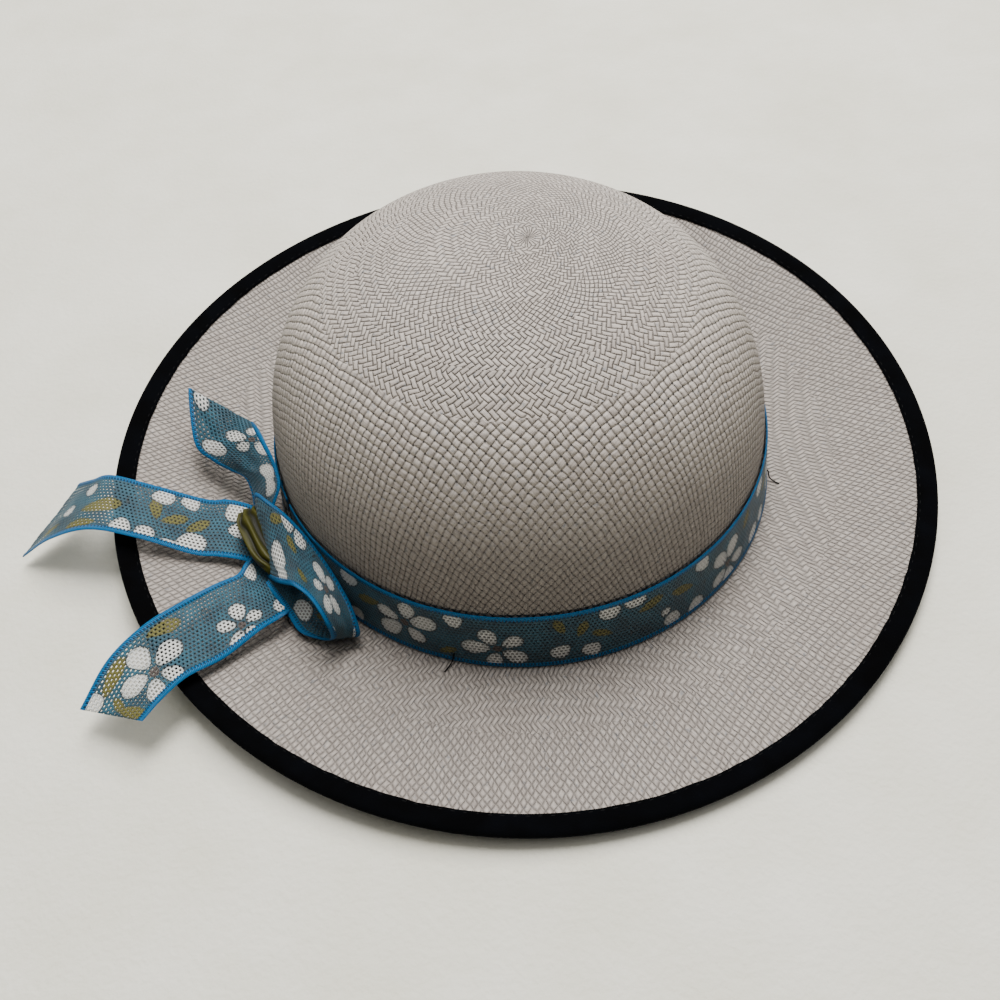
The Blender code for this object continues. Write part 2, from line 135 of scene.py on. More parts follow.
def straw_profile(inset):
    """The dome and brim's profile from the top out, as far under the outer face as the inset."""
    outer, inner = [], []
    for i in range(DOME_STEPS + 1):
        height = CROWN_HEIGHT * (1 - (i / DOME_STEPS) ** 2)
        if height < HEADLINE_FILLET:
            break
        low, high = height - 0.2 * MM, min(height + 0.2 * MM, CROWN_HEIGHT)
        slope = Vector((crown_radius(high) - crown_radius(low), high - low)).normalized()
        if i == 0:
            slope = Vector((-1.0, 0.0))
        outer.append((crown_radius(height), STRAW + height))
        inner.append((crown_radius(height) - inset * slope.y, STRAW + height + inset * slope.x))
    for degrees in (15, 35, 55, 75):
        turn = math.radians(degrees)
        for side, reach in ((outer, HEADLINE_FILLET), (inner, HEADLINE_FILLET + inset)):
            side.append((FLAT_START - reach * math.cos(turn),
                         STRAW + HEADLINE_FILLET - reach * math.sin(turn)))
    for i in range(BRIM_STEPS + 3):
        radius = FLAT_START + (FLAT_END - FLAT_START) * i / 3 if i < 3 else (
            FLAT_END + (STRAW_EDGE - FLAT_END) * (i - 3) / (BRIM_STEPS - 1))
        outer.append((radius, STRAW))
        inner.append((radius, STRAW - inset))
    way, distance = [0.0], 0.0
    for (r0, z0), (r1, z1) in zip(outer, outer[1:]):
        distance += math.hypot(r1 - r0, z1 - z0)
        way.append(distance)
    return [(*point, d) for point, d in zip(inner if inset else outer, way)]


def write_vectors(piece, name, values):
    """Keeps a vector at each vertex, which a material reads by its name."""
    layer = piece.data.attributes.new(name, "FLOAT_VECTOR", "POINT")
    layer.data.foreach_set("vector", np.asarray(values, np.float32).ravel())


def shading(name, colour, roughness):
    """A new material, its shader, and four ways to add to it: a link, a node, a sum, a mix."""
    material = bpy.data.materials.new(name)
    material.use_nodes = True
    tree = material.node_tree
    shader = tree.nodes["Principled BSDF"]
    shader.inputs["Base Color"].default_value = (*colour, 1.0)
    shader.inputs["Roughness"].default_value = roughness

    def join(socket, value):
        if isinstance(value, bpy.types.NodeSocket):
            tree.links.new(value, socket)
        elif socket.type == "RGBA" and len(value) == 3:
            socket.default_value = (*value, 1.0)
        else:
            socket.default_value = value

    def add(kind, inputs=None, **settings):
        node = tree.nodes.new("ShaderNode" + kind)
        for key, value in settings.items():
            setattr(node, key, value)
        for key, value in (inputs or {}).items():
            join(node.inputs[key], value)
        return node

    def calc(operation, *values):
        node = tree.nodes.new("ShaderNodeMath")
        node.operation = operation
        for socket, value in zip(node.inputs, values):
            join(socket, value)
        return node.outputs[0]

    def mix(share, first, second, blend="MIX"):
        node = tree.nodes.new("ShaderNodeMix")
        node.data_type, node.blend_type = "RGBA", blend
        for socket, value in zip((node.inputs[0], node.inputs[6], node.inputs[7]),
                                 (share, first, second)):
            join(socket, value)
        return node.outputs[2]

    return material, shader, join, add, calc, mix


def soft_step(calc, value, low, high):
    """0 under low and 1 over high, in a straight ramp."""
    ramp = calc("DIVIDE", calc("SUBTRACT", value, low), high - low)
    return calc("MINIMUM", calc("MAXIMUM", ramp, 0.0), 1.0)


def kept(add, name):
    """The vector that write_vectors kept under a name."""
    return add("Attribute", attribute_name=name).outputs["Vector"]


def split(add, vector):
    return add("SeparateXYZ", {"Vector": vector}).outputs


def clouds(add, vector, scale, detail):
    """Soft noise from 0 to 1."""
    return add("TexNoise", {"Vector": vector, "Scale": scale, "Detail": detail}).outputs["Fac"]


def emboss(shader, join, add, height, strength, depth):
    """Raises the surface by a height from 0 to 1, as much as depth."""
    bump = add("Bump", {"Strength": strength, "Distance": depth, "Height": height})
    join(shader.inputs["Normal"], bump.outputs[0])


STRAW_TONE, STRAW_SHADE = (0.57, 0.505, 0.455), (0.37, 0.325, 0.295)
# The middle colour on the next line is painted shade, for the hollows between strands and the crown's
# wall.
STRAW_BRIGHT, STRAW_PAINTED_SHADE, STRAW_HOLE = (0.76, 0.69, 0.625), (0.115, 0.10, 0.09), (0.02, 0.018, 0.018)
STRAW_FLECK, STRAW_AGED = (0.27, 0.285, 0.31), (0.50, 0.42, 0.37)
# Where each band of the weave starts, in mm from its centre: a strand's width, how many
# strands one repeat spans, whether the strands turn with the rings (1) or run straight (0),
# and how much painted shade darkens the hollows between strands. Plain weave repeats over 2
# strands and herringbone over 4.
WEAVE_BANDS = [
    (0, 1.25, 4, 1, 0.9), (9, 1.3, 4, 1, 0.9), (14, 1.4, 4, 1, 0.9), (21, 1.5, 4, 1, 0.85),
    (30, 1.7, 2, 1, 0.75), (41, 1.6, 4, 1, 0.65), (54, 1.8, 4, 1, 0.6), (70, 2.75, 2, 0, 0.25),
    (168, 2.3, 4, 0, 0.3), (197, 2.8, 2, 0, 0.2),
]
WEAVE_END, BUTTON, BUTTON_STRANDS = 245.0, 5.5, 22
# In mm along the straw from the weave's centre: where the dome's wall turns down, and where
# it meets the brim. They place the painted shade down the crown's wall.
WALL_START, WALL_END = (78.0, 118.0), (158.0, 172.0)
WEAVE_RELIEF = 0.85 * MM


def straw_weave():
    material, shader, join, add, calc, mix = shading("palm_straw", STRAW_TONE, 0.72)
    weave = kept(add, "weave")
    drift = add("TexNoise", {"Vector": weave, "Scale": 0.07, "Detail": 2.0})
    wobble = add("TexNoise", {"Vector": weave, "Scale": 0.22, "Detail": 1.0})
    parts = split(add, weave)
    drifts = add("SeparateColor", {"Color": drift.outputs["Color"]}).outputs
    wobbles = add("SeparateColor", {"Color": wobble.outputs["Color"]}).outputs

    def choose(mask, first, second):
        """First where the mask is 1, second where it is 0."""
        return calc("MULTIPLY_ADD", mask, calc("SUBTRACT", first, second), second)

    def bent(axis):
        slow = calc("MULTIPLY_ADD", drifts[axis], 3.0, -1.5)
        quick = calc("MULTIPLY_ADD", wobbles[axis], 0.9, -0.45)
        return calc("ADD", parts[axis], calc("ADD", slow, quick))

    x, y = bent(0), bent(1)
    reach = calc("SQRT", calc("MULTIPLY_ADD", x, x, calc("MULTIPLY", y, y)))
    # The bands' edges wander less than a strand's width.
    way = calc("ADD", reach, calc("MULTIPLY_ADD", wobbles[2], 1.6, -0.8))
    rows = []
    ends = [band[0] for band in WEAVE_BANDS[1:]] + [WEAVE_END]
    for (start, width, repeat, turned, gap), end in zip(WEAVE_BANDS, ends):
        around = 2 * round(math.tau * (start + end) / 2 / (math.sqrt(2) * width) / 2)
        rows.append((start, (width, repeat, turned, gap, around)))
    now = list(rows[0][1])
    for (_, last), (start, following) in zip(rows, rows[1:]):
        past = calc("GREATER_THAN", way, float(start))
        for k, (before, after) in enumerate(zip(last, following)):
            if before != after:
                now[k] = calc("MULTIPLY_ADD", past, after - before, now[k])
    width_now, repeat_now, turned, hollow_shade_now, around_now = now
    diagonal = math.sqrt(0.5)
    straight_u = calc("DIVIDE", calc("MULTIPLY", calc("ADD", x, y), diagonal), width_now)
    straight_v = calc("DIVIDE", calc("MULTIPLY", calc("SUBTRACT", x, y), diagonal), width_now)
    turns_round = calc("DIVIDE", calc("ARCTAN2", y, x), math.tau)
    round_it = calc("MULTIPLY", turns_round, around_now)
    outwards = calc("ADD", calc("DIVIDE", calc("MULTIPLY", reach, diagonal), width_now), 400.0)
    u = choose(turned, calc("ADD", outwards, round_it), calc("ABSOLUTE", straight_u))
    v = choose(turned, calc("SUBTRACT", outwards, round_it), calc("ABSOLUTE", straight_v))
    column, row = calc("FLOOR", u), calc("FLOOR", v)
    in_column, in_row = calc("SUBTRACT", u, column), calc("SUBTRACT", v, row)
    half = calc("MULTIPLY", repeat_now, 0.5)
    turn = calc("MODULO", calc("ADD", column, row), repeat_now)
    first_on_top = calc("LESS_THAN", turn, calc("SUBTRACT", half, 0.5))

    def pick(first, second):
        """First where the first family of strands is on top, second elsewhere."""
        return choose(first_on_top, first, second)

    across = pick(in_row, in_column)
    turns = pick(turn, calc("SUBTRACT", turn, half))
    along = calc("DIVIDE", calc("ADD", turns, pick(in_column, in_row)), half)
    strand = pick(row, calc("ADD", column, 517.0))
    fan = calc("ADD", calc("MULTIPLY", calc("SIGN", straight_u), 31.0),
               calc("MULTIPLY", calc("SIGN", straight_v), 67.0))
    fan = choose(turned, around_now, fan)
    strand_code = add("CombineXYZ", {"X": strand, "Y": fan, "Z": pick(0.0, 9.0)}).outputs[0]
    tone = add("TexWhiteNoise", {"Vector": strand_code}, noise_dimensions="3D").outputs["Value"]
    cell_code = add("CombineXYZ", {
        "X": strand, "Y": calc("ADD", fan, calc("FLOOR", calc("DIVIDE", pick(u, v), half))),
        "Z": pick(0.0, 9.0)}).outputs[0]
    cell_tone = add("TexWhiteNoise", {"Vector": cell_code}, noise_dimensions="3D").outputs["Value"]

    def hump(value, power):
        """1 in the middle of 0..1, down to 0 at both its ends."""
        off = calc("ABSOLUTE", calc("MULTIPLY_ADD", value, 2.0, -1.0))
        return calc("SUBTRACT", 1.0, calc("POWER", off, power))

    body = hump(across, calc("MULTIPLY_ADD", tone, 1.5, 3.0))
    arch = hump(along, calc("MULTIPLY_ADD", turned, 4.0, 2.6))
    height = calc("MULTIPLY", body, calc("MULTIPLY_ADD", arch, 0.85, 0.15))
    # The weave starts from a button of strands that radiate from the centre.
    button = calc("LESS_THAN", reach, BUTTON)
    spoke = calc("FRACT", calc("MULTIPLY_ADD", turns_round, BUTTON_STRANDS,
                               calc("MULTIPLY_ADD", cell_tone, 0.3, BUTTON_STRANDS)))
    height = choose(button, hump(spoke, 3.0), height)
    # Fine fibres run along each strand.
    fibre_place = add("CombineXYZ", {
        "X": calc("MULTIPLY", across, 8.0), "Y": calc("MULTIPLY", pick(u, v), 0.5),
        "Z": calc("MULTIPLY", strand, 3.7)}).outputs[0]
    fibre = clouds(add, fibre_place, 1.0, 3.0)
    shade = mix(calc("MULTIPLY_ADD", tone, 0.5, calc("MULTIPLY", cell_tone, 0.5)),
                STRAW_SHADE, STRAW_TONE)
    # Strands that run one way catch a little more light than those that cross them.
    shade = mix(calc("MULTIPLY", first_on_top, 0.18), shade, STRAW_BRIGHT)
    shade = mix(calc("MULTIPLY", soft_step(calc, fibre, 0.44, 0.6), 0.55), shade, STRAW_BRIGHT)
    fleck = add("TexNoise", {"Vector": weave, "Scale": 0.45, "Detail": 4.0, "Roughness": 0.7})
    stained = calc("ADD", calc("MULTIPLY", cell_tone, 0.12), fleck.outputs["Fac"])
    shade = mix(calc("MULTIPLY", soft_step(calc, stained, 0.65, 0.74), 0.8), shade, STRAW_FLECK)
    age = clouds(add, weave, 0.03, 3.0)
    shade = mix(calc("MULTIPLY", soft_step(calc, age, 0.4, 0.7), 0.2), shade, STRAW_AGED)
    # Painted shade darkens the hollows between strands. Some rings are drawn tighter than others,
    # so their gaps show less of it.
    ring_place = add("CombineXYZ", {"X": calc("MULTIPLY", way, 0.16)}).outputs[0]
    ring = clouds(add, ring_place, 1.0, 2.0)
    patchy = clouds(add, weave, 0.3, 2.0)
    looseness = calc("ADD", calc("MULTIPLY", soft_step(calc, ring, 0.3, 0.7), 0.3),
                     calc("MULTIPLY_ADD", soft_step(calc, patchy, 0.35, 0.65), 0.6, 0.2))
    depth = calc("DIVIDE", height, choose(turned, 0.34, 0.62))
    valley_shade = calc("SUBTRACT", 1.0, calc("MINIMUM", calc("MAXIMUM", depth, 0.0), 1.0))
    colour = mix(calc("MULTIPLY", valley_shade, calc("MULTIPLY", looseness, hollow_shade_now)), shade, STRAW_PAINTED_SHADE)
    # Pinholes show at the crossings, most of all in the crown's band of plain weave.
    corner = calc("MAXIMUM", hump(in_column, 4.0), hump(in_row, 4.0))
    plain = calc("LESS_THAN", repeat_now, 3.0)
    on_crown = calc("MULTIPLY", soft_step(calc, way, 66.0, 76.0),
                    calc("SUBTRACT", 1.0, soft_step(calc, way, 158.0, 168.0)))
    open_hole = calc("MULTIPLY_ADD", calc("MULTIPLY", plain, on_crown), 0.75, 0.2)
    pinhole = calc("MULTIPLY", calc("SUBTRACT", 1.0, soft_step(calc, corner, 0.42, 0.8)), open_hole)
    pinhole = choose(button, 0.0, pinhole)
    colour = mix(pinhole, colour, STRAW_HOLE)
    # Painted shade: the straw is painted darker down the crown's wall to its foot, where the weave
    # shades itself under light from above, and a little darker on the brim, partly painted shade
    # and partly the straw's own tone.
    lower = soft_step(calc, way, *WALL_START)
    wall = calc("MULTIPLY", lower, calc("SUBTRACT", 1.0, soft_step(calc, way, *WALL_END)))
    painted_wall_shade = calc("MULTIPLY_ADD", wall, 0.28, calc("MULTIPLY", lower, 0.31))
    colour = mix(painted_wall_shade, colour, STRAW_PAINTED_SHADE)
    join(shader.inputs["Base Color"], colour)
    join(shader.inputs["Roughness"], calc("MULTIPLY_ADD", fibre, -0.25, 0.82))
    relief = calc("ADD", height, calc("MULTIPLY", fibre, 0.15))
    relief = calc("SUBTRACT", relief, calc("MULTIPLY", pinhole, 0.6))
    emboss(shader, join, add, relief, 1.0, WEAVE_RELIEF)
    shader.inputs["Specular IOR Level"].default_value = 0.4
    return material


PALM_STRAW = straw_weave()
bm = bmesh.new()
outer_side, inner_side = straw_profile(0.0), straw_profile(STRAW)
way = spun(bm, outer_side + inner_side[::-1], ROUND_STEPS, closed=False)
weave_places = []
for vert in bm.verts:
    x, y, _ = vert.co
    radius = math.hypot(x, y)
    start = WEAVE_CENTRE * max(1 - vert[way] / WEAVE_CENTRE_FADE, 0.0)
    flat = Vector((x, y)) / radius * vert[way] if radius else Vector((0, 0))
    flat = (flat - start) / MM
    weave_places.append((flat.x, flat.y, 0.0))
    vert.co = shaped(vert.co)
straw_body = place(bm, "straw_body_woven", PALM_STRAW)
write_vectors(straw_body, "weave", weave_places)
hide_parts("straw_body")
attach(straw_body, "hat")

# ---------------------------------------------------------------- brim binding
# A bias strip of black velvet folded over the brim's edge and its wire, with its two raw
# sides turned in. The pile puckers a little where the strip is eased round the curve.
BINDING_WIDTH, FOLD_WALL, FOLD_HALF = 7.7 * MM, 1.2 * MM, 0.85 * MM
LIP_REACH, LIP_WANDER, BINDING_STEPS = 2.0 * MM, 0.35 * MM, 300
VELVET_COLOUR = (0.0008, 0.0008, 0.001)


def velvet():
    material, shader, join, add, calc, mix = shading("black_velvet", VELVET_COLOUR, 0.95)
    place_in = add("TexCoord").outputs["Object"]
    pile = add("TexNoise", {"Vector": place_in, "Scale": 1400.0, "Detail": 3.0})
    brushed = add("TexNoise", {"Vector": place_in, "Scale": 90.0, "Detail": 2.0})
    brush = soft_step(calc, brushed.outputs["Fac"], 0.35, 0.7)
    join(shader.inputs["Base Color"], mix(brush, VELVET_COLOUR, (0.0014, 0.0017, 0.0026)))
    height = calc("ADD", pile.outputs["Fac"], calc("MULTIPLY", brushed.outputs["Fac"], 1.5))
    emboss(shader, join, add, height, 0.6, 0.25 * MM)
    shader.inputs["Specular IOR Level"].default_value = 0.04
    shader.inputs["Sheen Weight"].default_value = 0.012
    shader.inputs["Sheen Roughness"].default_value = 0.45
    shader.inputs["Sheen Tint"].default_value = (0.45, 0.55, 0.8, 1.0)
    return material


BLACK_VELVET = velvet()
bm = bmesh.new()
middle, lip = STRAW / 2, BRIM_RADIUS - BINDING_WIDTH
half_fold = []
for distance, rise in (
    (6.4, 0.95), (7.4, 0.98), (7.72, 1.18), (7.55, 1.5), (7.0, 1.66), (5.5, 1.74), (4.0, 1.78),
    (2.6, 1.76), (1.4, 1.58), (0.6, 1.22), (0.16, 0.7),
):
    half_fold.append((BRIM_RADIUS - distance * MM, rise * MM))
outline = [(r, middle + z, 0.0) for r, z in half_fold]
outline.append((BRIM_RADIUS, middle, 0.0))
outline += [(r, middle - z, 0.0) for r, z in half_fold[::-1]]
inner_end = BRIM_RADIUS - FOLD_WALL
outline += [(inner_end, middle - FOLD_HALF, 0.0), (inner_end, middle + FOLD_HALF, 0.0)]
spun(bm, outline, BINDING_STEPS, closed=True)
for vert in bm.verts:
    x, y, z = vert.co
    radius, azimuth = math.hypot(x, y), math.atan2(y, x)
    upper = max(abs(z - middle) - 1.1 * MM, 0.0) / (0.7 * MM)
    ring = Vector((math.cos(azimuth), math.sin(azimuth), 0)) * 60
    ease = noise.noise(ring * 1.6 + Vector((0, 0, radius * 90)))
    pucker = noise.noise(ring * 0.45 + Vector((7, 3, radius * 40)))
    at_lip = min(max((lip + LIP_REACH - radius) / LIP_REACH, 0), 1)
    inward = LIP_WANDER * noise.noise(ring * 0.8 + Vector((0, 9, 0))) * at_lip
    grow = 1 + inward / radius
    lift = math.copysign(upper, z - middle) * MM * (0.1 * ease + 0.14 * pucker)
    vert.co = shaped((x * grow, y * grow, z + lift))
brim_binding = place(bm, "velvet_binding", BLACK_VELVET, angle=75)
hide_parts("brim_binding")
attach(brim_binding, "hat")

# ---------------------------------------------------------------- binding stitching
# One row of running stitches in black thread, just inside the binding's upper lip.
STITCH_RING, STITCH_RISE = BRIM_RADIUS - 6.7 * MM, 1.5 * MM
STITCH_LENGTH, STITCH_PITCH, THREAD = 2.4 * MM, 4.0 * MM, 0.5 * MM
STITCH_AIM = 0.01                          # radians on, to point each stitch along its row


def thread_finish(name, colour, sheen):
    material, shader, join, add, calc, mix = shading(name, colour, 0.6)
    place_in = add("TexCoord").outputs["Object"]
    twist = clouds(add, place_in, 2600.0, 2.0)
    dark, light = ([c * share for c in colour] for share in (0.6, 1.4))
    join(shader.inputs["Base Color"], mix(twist, dark, light))
    emboss(shader, join, add, twist, 0.5, 0.1 * MM)
    shader.inputs["Sheen Weight"].default_value = sheen
    shader.inputs["Specular IOR Level"].default_value = 0.1
    return material


BLACK_THREAD = thread_finish("black_cotton_thread", (0.0015, 0.0015, 0.002), 0.0)


def stitch(bm, centre, along, up, length, thickness):
    """One short, pointed stitch."""
    side = along.cross(up).normalized()
    turn = Matrix((along.normalized(), side, up.normalized())).transposed().to_4x4()
    size = Matrix.Diagonal((length / 2, thickness / 2, thickness / 2, 1.0))
    bmesh.ops.create_uvsphere(bm, u_segments=6, v_segments=5, radius=1.0,
                              matrix=Matrix.Translation(centre) @ turn @ size)


bm = bmesh.new()
stitches = round(math.tau * STITCH_RING / STITCH_PITCH)
for i in range(stitches):
    azimuth = math.tau * i / stitches
    height = middle + STITCH_RISE
    here = shaped((STITCH_RING * math.cos(azimuth), STITCH_RING * math.sin(azimuth), height))
    ahead = azimuth + STITCH_AIM
    there = shaped((STITCH_RING * math.cos(ahead), STITCH_RING * math.sin(ahead), height))
    stitch(bm, here, there - here, Vector((0, 0, 1)), STITCH_LENGTH, THREAD)
binding_stitching = place(bm, "binding_running_stitch", BLACK_THREAD)
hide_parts("binding_stitching")
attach(binding_stitching, "hat")

# ---------------------------------------------------------------- wire and its joiner
# A ring of spring-steel millinery wire runs inside the binding's fold, and a crimped
# sleeve holds its two ends together at the back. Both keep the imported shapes.


def drawn_steel():
    material, shader, join, add, calc, mix = shading("drawn_steel", (0.5, 0.5, 0.51), 0.35)
    place_in = add("TexCoord").outputs["Object"]
    marks = clouds(add, place_in, 700.0, 4.0)
    join(shader.inputs["Base Color"], mix(marks, (0.38, 0.38, 0.40), (0.62, 0.62, 0.62)))
    join(shader.inputs["Roughness"], calc("MULTIPLY_ADD", marks, 0.3, 0.2))
    shader.inputs["Metallic"].default_value = 1.0
    return material


DRAWN_STEEL = drawn_steel()
for name in ("brim_wire", "wire_joiner"):
    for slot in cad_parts[name].material_slots:
        slot.material = DRAWN_STEEL

# ---------------------------------------------------------------- sweatband
# A strip of cotton twill, 32 mm wide, round the inside of the head opening. It is hemmed
# at both edges, butts at the back, and is sewn to the straw along its foot.
SWEATBAND_HEIGHT, SWEATBAND_CLOTH, SWEATBAND_FOOT = 32.0 * MM, 0.9 * MM, 1.6 * MM
SWEATBAND_GAP, SWEATBAND_BUTT, SWEATBAND_STEPS = 0.5 * MM, 1.0 * MM, 150
SWEATBAND_BACK = math.pi / 2
COTTON, COTTON_DARK = (0.52, 0.46, 0.385), (0.37, 0.32, 0.26)


def cotton_twill():
    material, shader, join, add, calc, mix = shading("cotton_twill", COTTON, 0.85)
    strip = kept(add, "strip")
    parts = split(add, strip)
    diagonal = calc("ADD", calc("MULTIPLY", parts[0], 1.6), calc("MULTIPLY", parts[1], 2.2))
    rib = calc("ABSOLUTE", calc("SINE", calc("MULTIPLY", diagonal, math.pi)))
    weft = calc("ABSOLUTE", calc("SINE", calc("MULTIPLY", parts[1], math.pi * 2.5)))
    slub = clouds(add, strip, 0.5, 4.0)
    height = calc("MULTIPLY", rib, calc("MULTIPLY_ADD", weft, 0.4, 0.6))
    # Painted shade: the twill is painted darker in the hollows between its ribs, mixed with random
    # slub tone.
    tone = calc("MULTIPLY_ADD", height, 0.5, calc("MULTIPLY", slub, 0.5))
    join(shader.inputs["Base Color"], mix(tone, COTTON_DARK, COTTON))
    emboss(shader, join, add, height, 0.6, 0.2 * MM)
    shader.inputs["Sheen Weight"].default_value = 0.15
    return material


COTTON_TWILL = cotton_twill()


def wall_point(azimuth, height, offset):
    """A point at an offset from the crown's outer face."""
    radius = crown_radius(height) + offset
    return shaped((radius * math.cos(azimuth), radius * math.sin(azimuth), STRAW + height))


def hemmed_strip(name, azimuths, foot, top, offset, cloth, hem, material):
    """A hemmed strip that follows the inside of the crown's wall, thicker along both hems."""
    bm = bmesh.new()
    section = []
    for share, thick in ((0, 0.4), (0.02, 0.95), (hem, 1.0), (hem + 0.02, 0.62), (0.35, 0.6),
                         (0.65, 0.6), (0.98 - hem, 0.62), (1 - hem, 1.0), (0.98, 0.95), (1, 0.4)):
        section.append((foot + (top - foot) * share, -cloth / 2 * (2 * thick - 1)))
    section += [(foot + (top - foot) * share, cloth / 2) for share in (1, 0.65, 0.35, 0)]
    rings = []
    for azimuth in azimuths:
        ripple = 0.12 * MM * noise.noise(Vector((math.cos(azimuth) * 9, math.sin(azimuth) * 9, 1)))
        rings.append([bm.verts.new(wall_point(azimuth, height, offset + depth + ripple))
                      for height, depth in section])
    loops = [[bm.edges.new((ring[i - 1], ring[i])) for i in range(len(ring))] for ring in rings]
    for near, far in zip(loops, loops[1:]):
        bmesh.ops.bridge_loops(bm, edges=near + far)
    for end in (loops[0], loops[-1]):
        bmesh.ops.edgeloop_fill(bm, edges=end)
    piece = place(bm, name, material, angle=60)
    write_vectors(piece, "strip", [
        (math.atan2(v.co.y, v.co.x) * CROWN_RADIUS / MM, v.co.z / MM, 0)
        for v in piece.data.vertices])
    return piece


def ring_azimuths(middle_azimuth, gap, steps):
    """Azimuths all the way round from one side of a gap to the other."""
    half = gap / 2 / CROWN_RADIUS
    return [middle_azimuth + half + (math.tau - 2 * half) * i / steps for i in range(steps + 1)]


inside = -(STRAW + SWEATBAND_GAP + SWEATBAND_CLOTH / 2)
sweatband = hemmed_strip(
    "sweatband_twill", ring_azimuths(SWEATBAND_BACK, SWEATBAND_BUTT, SWEATBAND_STEPS),
    SWEATBAND_FOOT, SWEATBAND_FOOT + SWEATBAND_HEIGHT, inside, SWEATBAND_CLOTH, 0.09,
    COTTON_TWILL)
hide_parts("sweatband")
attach(sweatband, "hat")

# ---------------------------------------------------------------- sweatband tape
# A short length of grosgrain tape covers the sweatband's butted ends at the back.
TAPE_WIDTH, TAPE_CLOTH, TAPE_GAP, TAPE_COLOUR = 14.0 * MM, 0.9 * MM, 0.5 * MM, (0.62, 0.60, 0.54)
TAPE_ABOVE_FOOT, TAPE_BELOW_TOP, TAPE_STEPS = 3.0 * MM, 1.0 * MM, 16


def grosgrain():
    material, shader, join, add, calc, mix = shading("grosgrain_tape", TAPE_COLOUR, 0.75)
    strip = kept(add, "strip")
    parts = split(add, strip)
    rib = calc("ABSOLUTE", calc("SINE", calc("MULTIPLY", parts[1], math.pi * 1.1)))
    warp = calc("ABSOLUTE", calc("SINE", calc("MULTIPLY", parts[0], math.pi * 3.0)))
    height = calc("MULTIPLY", rib, calc("MULTIPLY_ADD", warp, 0.25, 0.75))
    # Painted shade: the tape is painted darker in the grooves between its ribs.
    join(shader.inputs["Base Color"], mix(height, [c * 0.6 for c in TAPE_COLOUR], TAPE_COLOUR))
    emboss(shader, join, add, height, 0.7, 0.25 * MM)
    return material


tape_face = inside - SWEATBAND_CLOTH / 2 - TAPE_GAP - TAPE_CLOTH / 2
tape_half = TAPE_WIDTH / 2 / CROWN_RADIUS
sweatband_tape = hemmed_strip(
    "sweatband_grosgrain_tape",
    [SWEATBAND_BACK + tape_half * (2 * i / TAPE_STEPS - 1) for i in range(TAPE_STEPS + 1)],
    SWEATBAND_FOOT + TAPE_ABOVE_FOOT, SWEATBAND_FOOT + SWEATBAND_HEIGHT - TAPE_BELOW_TOP,
    tape_face, TAPE_CLOTH, 0.06, grosgrain())
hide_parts("sweatband_tape")
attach(sweatband_tape, "hat")

# ---------------------------------------------------------------- sweatband stitching
# Pale cotton thread in short running stitches holds the sweatband's foot to the straw.
PALE_THREAD = thread_finish("pale_cotton_thread", (0.60, 0.56, 0.48), 0.2)
SWEATBAND_STITCHES, SWEATBAND_STITCH = 180, 2.1 * MM
stitch_height = SWEATBAND_FOOT + 1.5 * MM
stitch_offset = inside - SWEATBAND_CLOTH / 2 - 0.2 * MM
bm = bmesh.new()
for i in range(SWEATBAND_STITCHES):
    azimuth = math.tau * (i + 0.5) / SWEATBAND_STITCHES
    here = wall_point(azimuth, stitch_height, stitch_offset)
    there = wall_point(azimuth + STITCH_AIM, stitch_height, stitch_offset)
    inwards = Vector((-math.cos(azimuth), -math.sin(azimuth), 0))
    stitch(bm, here, there - here, inwards, SWEATBAND_STITCH, THREAD)
sweatband_stitching = place(bm, "sweatband_running_stitch", PALE_THREAD)
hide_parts("sweatband_stitching")
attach(sweatband_stitching, "hat")

# ---------------------------------------------------------------- crown band
# A length of the printed open-mesh ribbon, 27 mm wide, wraps the foot of the crown. Its
# ends meet behind the bow. The print is white five-petalled flowers and olive leaves on
# teal, with dark sprigs, and both edges are overlocked over a wire in bright blue.
RIBBON_WIDTH, RIBBON_CLOTH, EDGE_WIDTH, EDGE_CLOTH = 27.0 * MM, 0.35 * MM, 2.4 * MM, 0.8 * MM
RIBBON_COLUMNS, MESH_INSET, EDGE_SIDES = 44, 0.9 * MM, 10
BAND_FOOT, BAND_CLEARANCE, BAND_GAP, BAND_STEPS = 0.7 * MM, 0.4 * MM, 3.0 * MM, 880
BOW_AZIMUTH = math.radians(205.5)
MESH_PITCH = 1.55                          # mm from one thread of the mesh to the next
TEAL, TEAL_DEEP, TEAL_LIGHT = (0.012, 0.108, 0.165), (0.004, 0.045, 0.075), (0.030, 0.21, 0.31)
PETAL, PETAL_SHADE = (0.86, 0.86, 0.82), (0.52, 0.56, 0.56)
LEAF, LEAF_DARK, INK_AND_HOLE_SHADE = (0.20, 0.18, 0.016), (0.085, 0.080, 0.008), (0.012, 0.020, 0.024)
FLOWER_HEART = (0.075, 0.052, 0.045)
EDGE_BLUE, EDGE_DEEP, EDGE_LIGHT = (0.008, 0.21, 0.42), (0.001, 0.085, 0.24), (0.004, 0.175, 0.41)
EDGE_GROOVE_SHADE, EDGE_DOT = (0.003, 0.06, 0.14), (0.003, 0.030, 0.07)
EDGE_LOOP = 0.62                           # mm from one loop of the overlock to the next


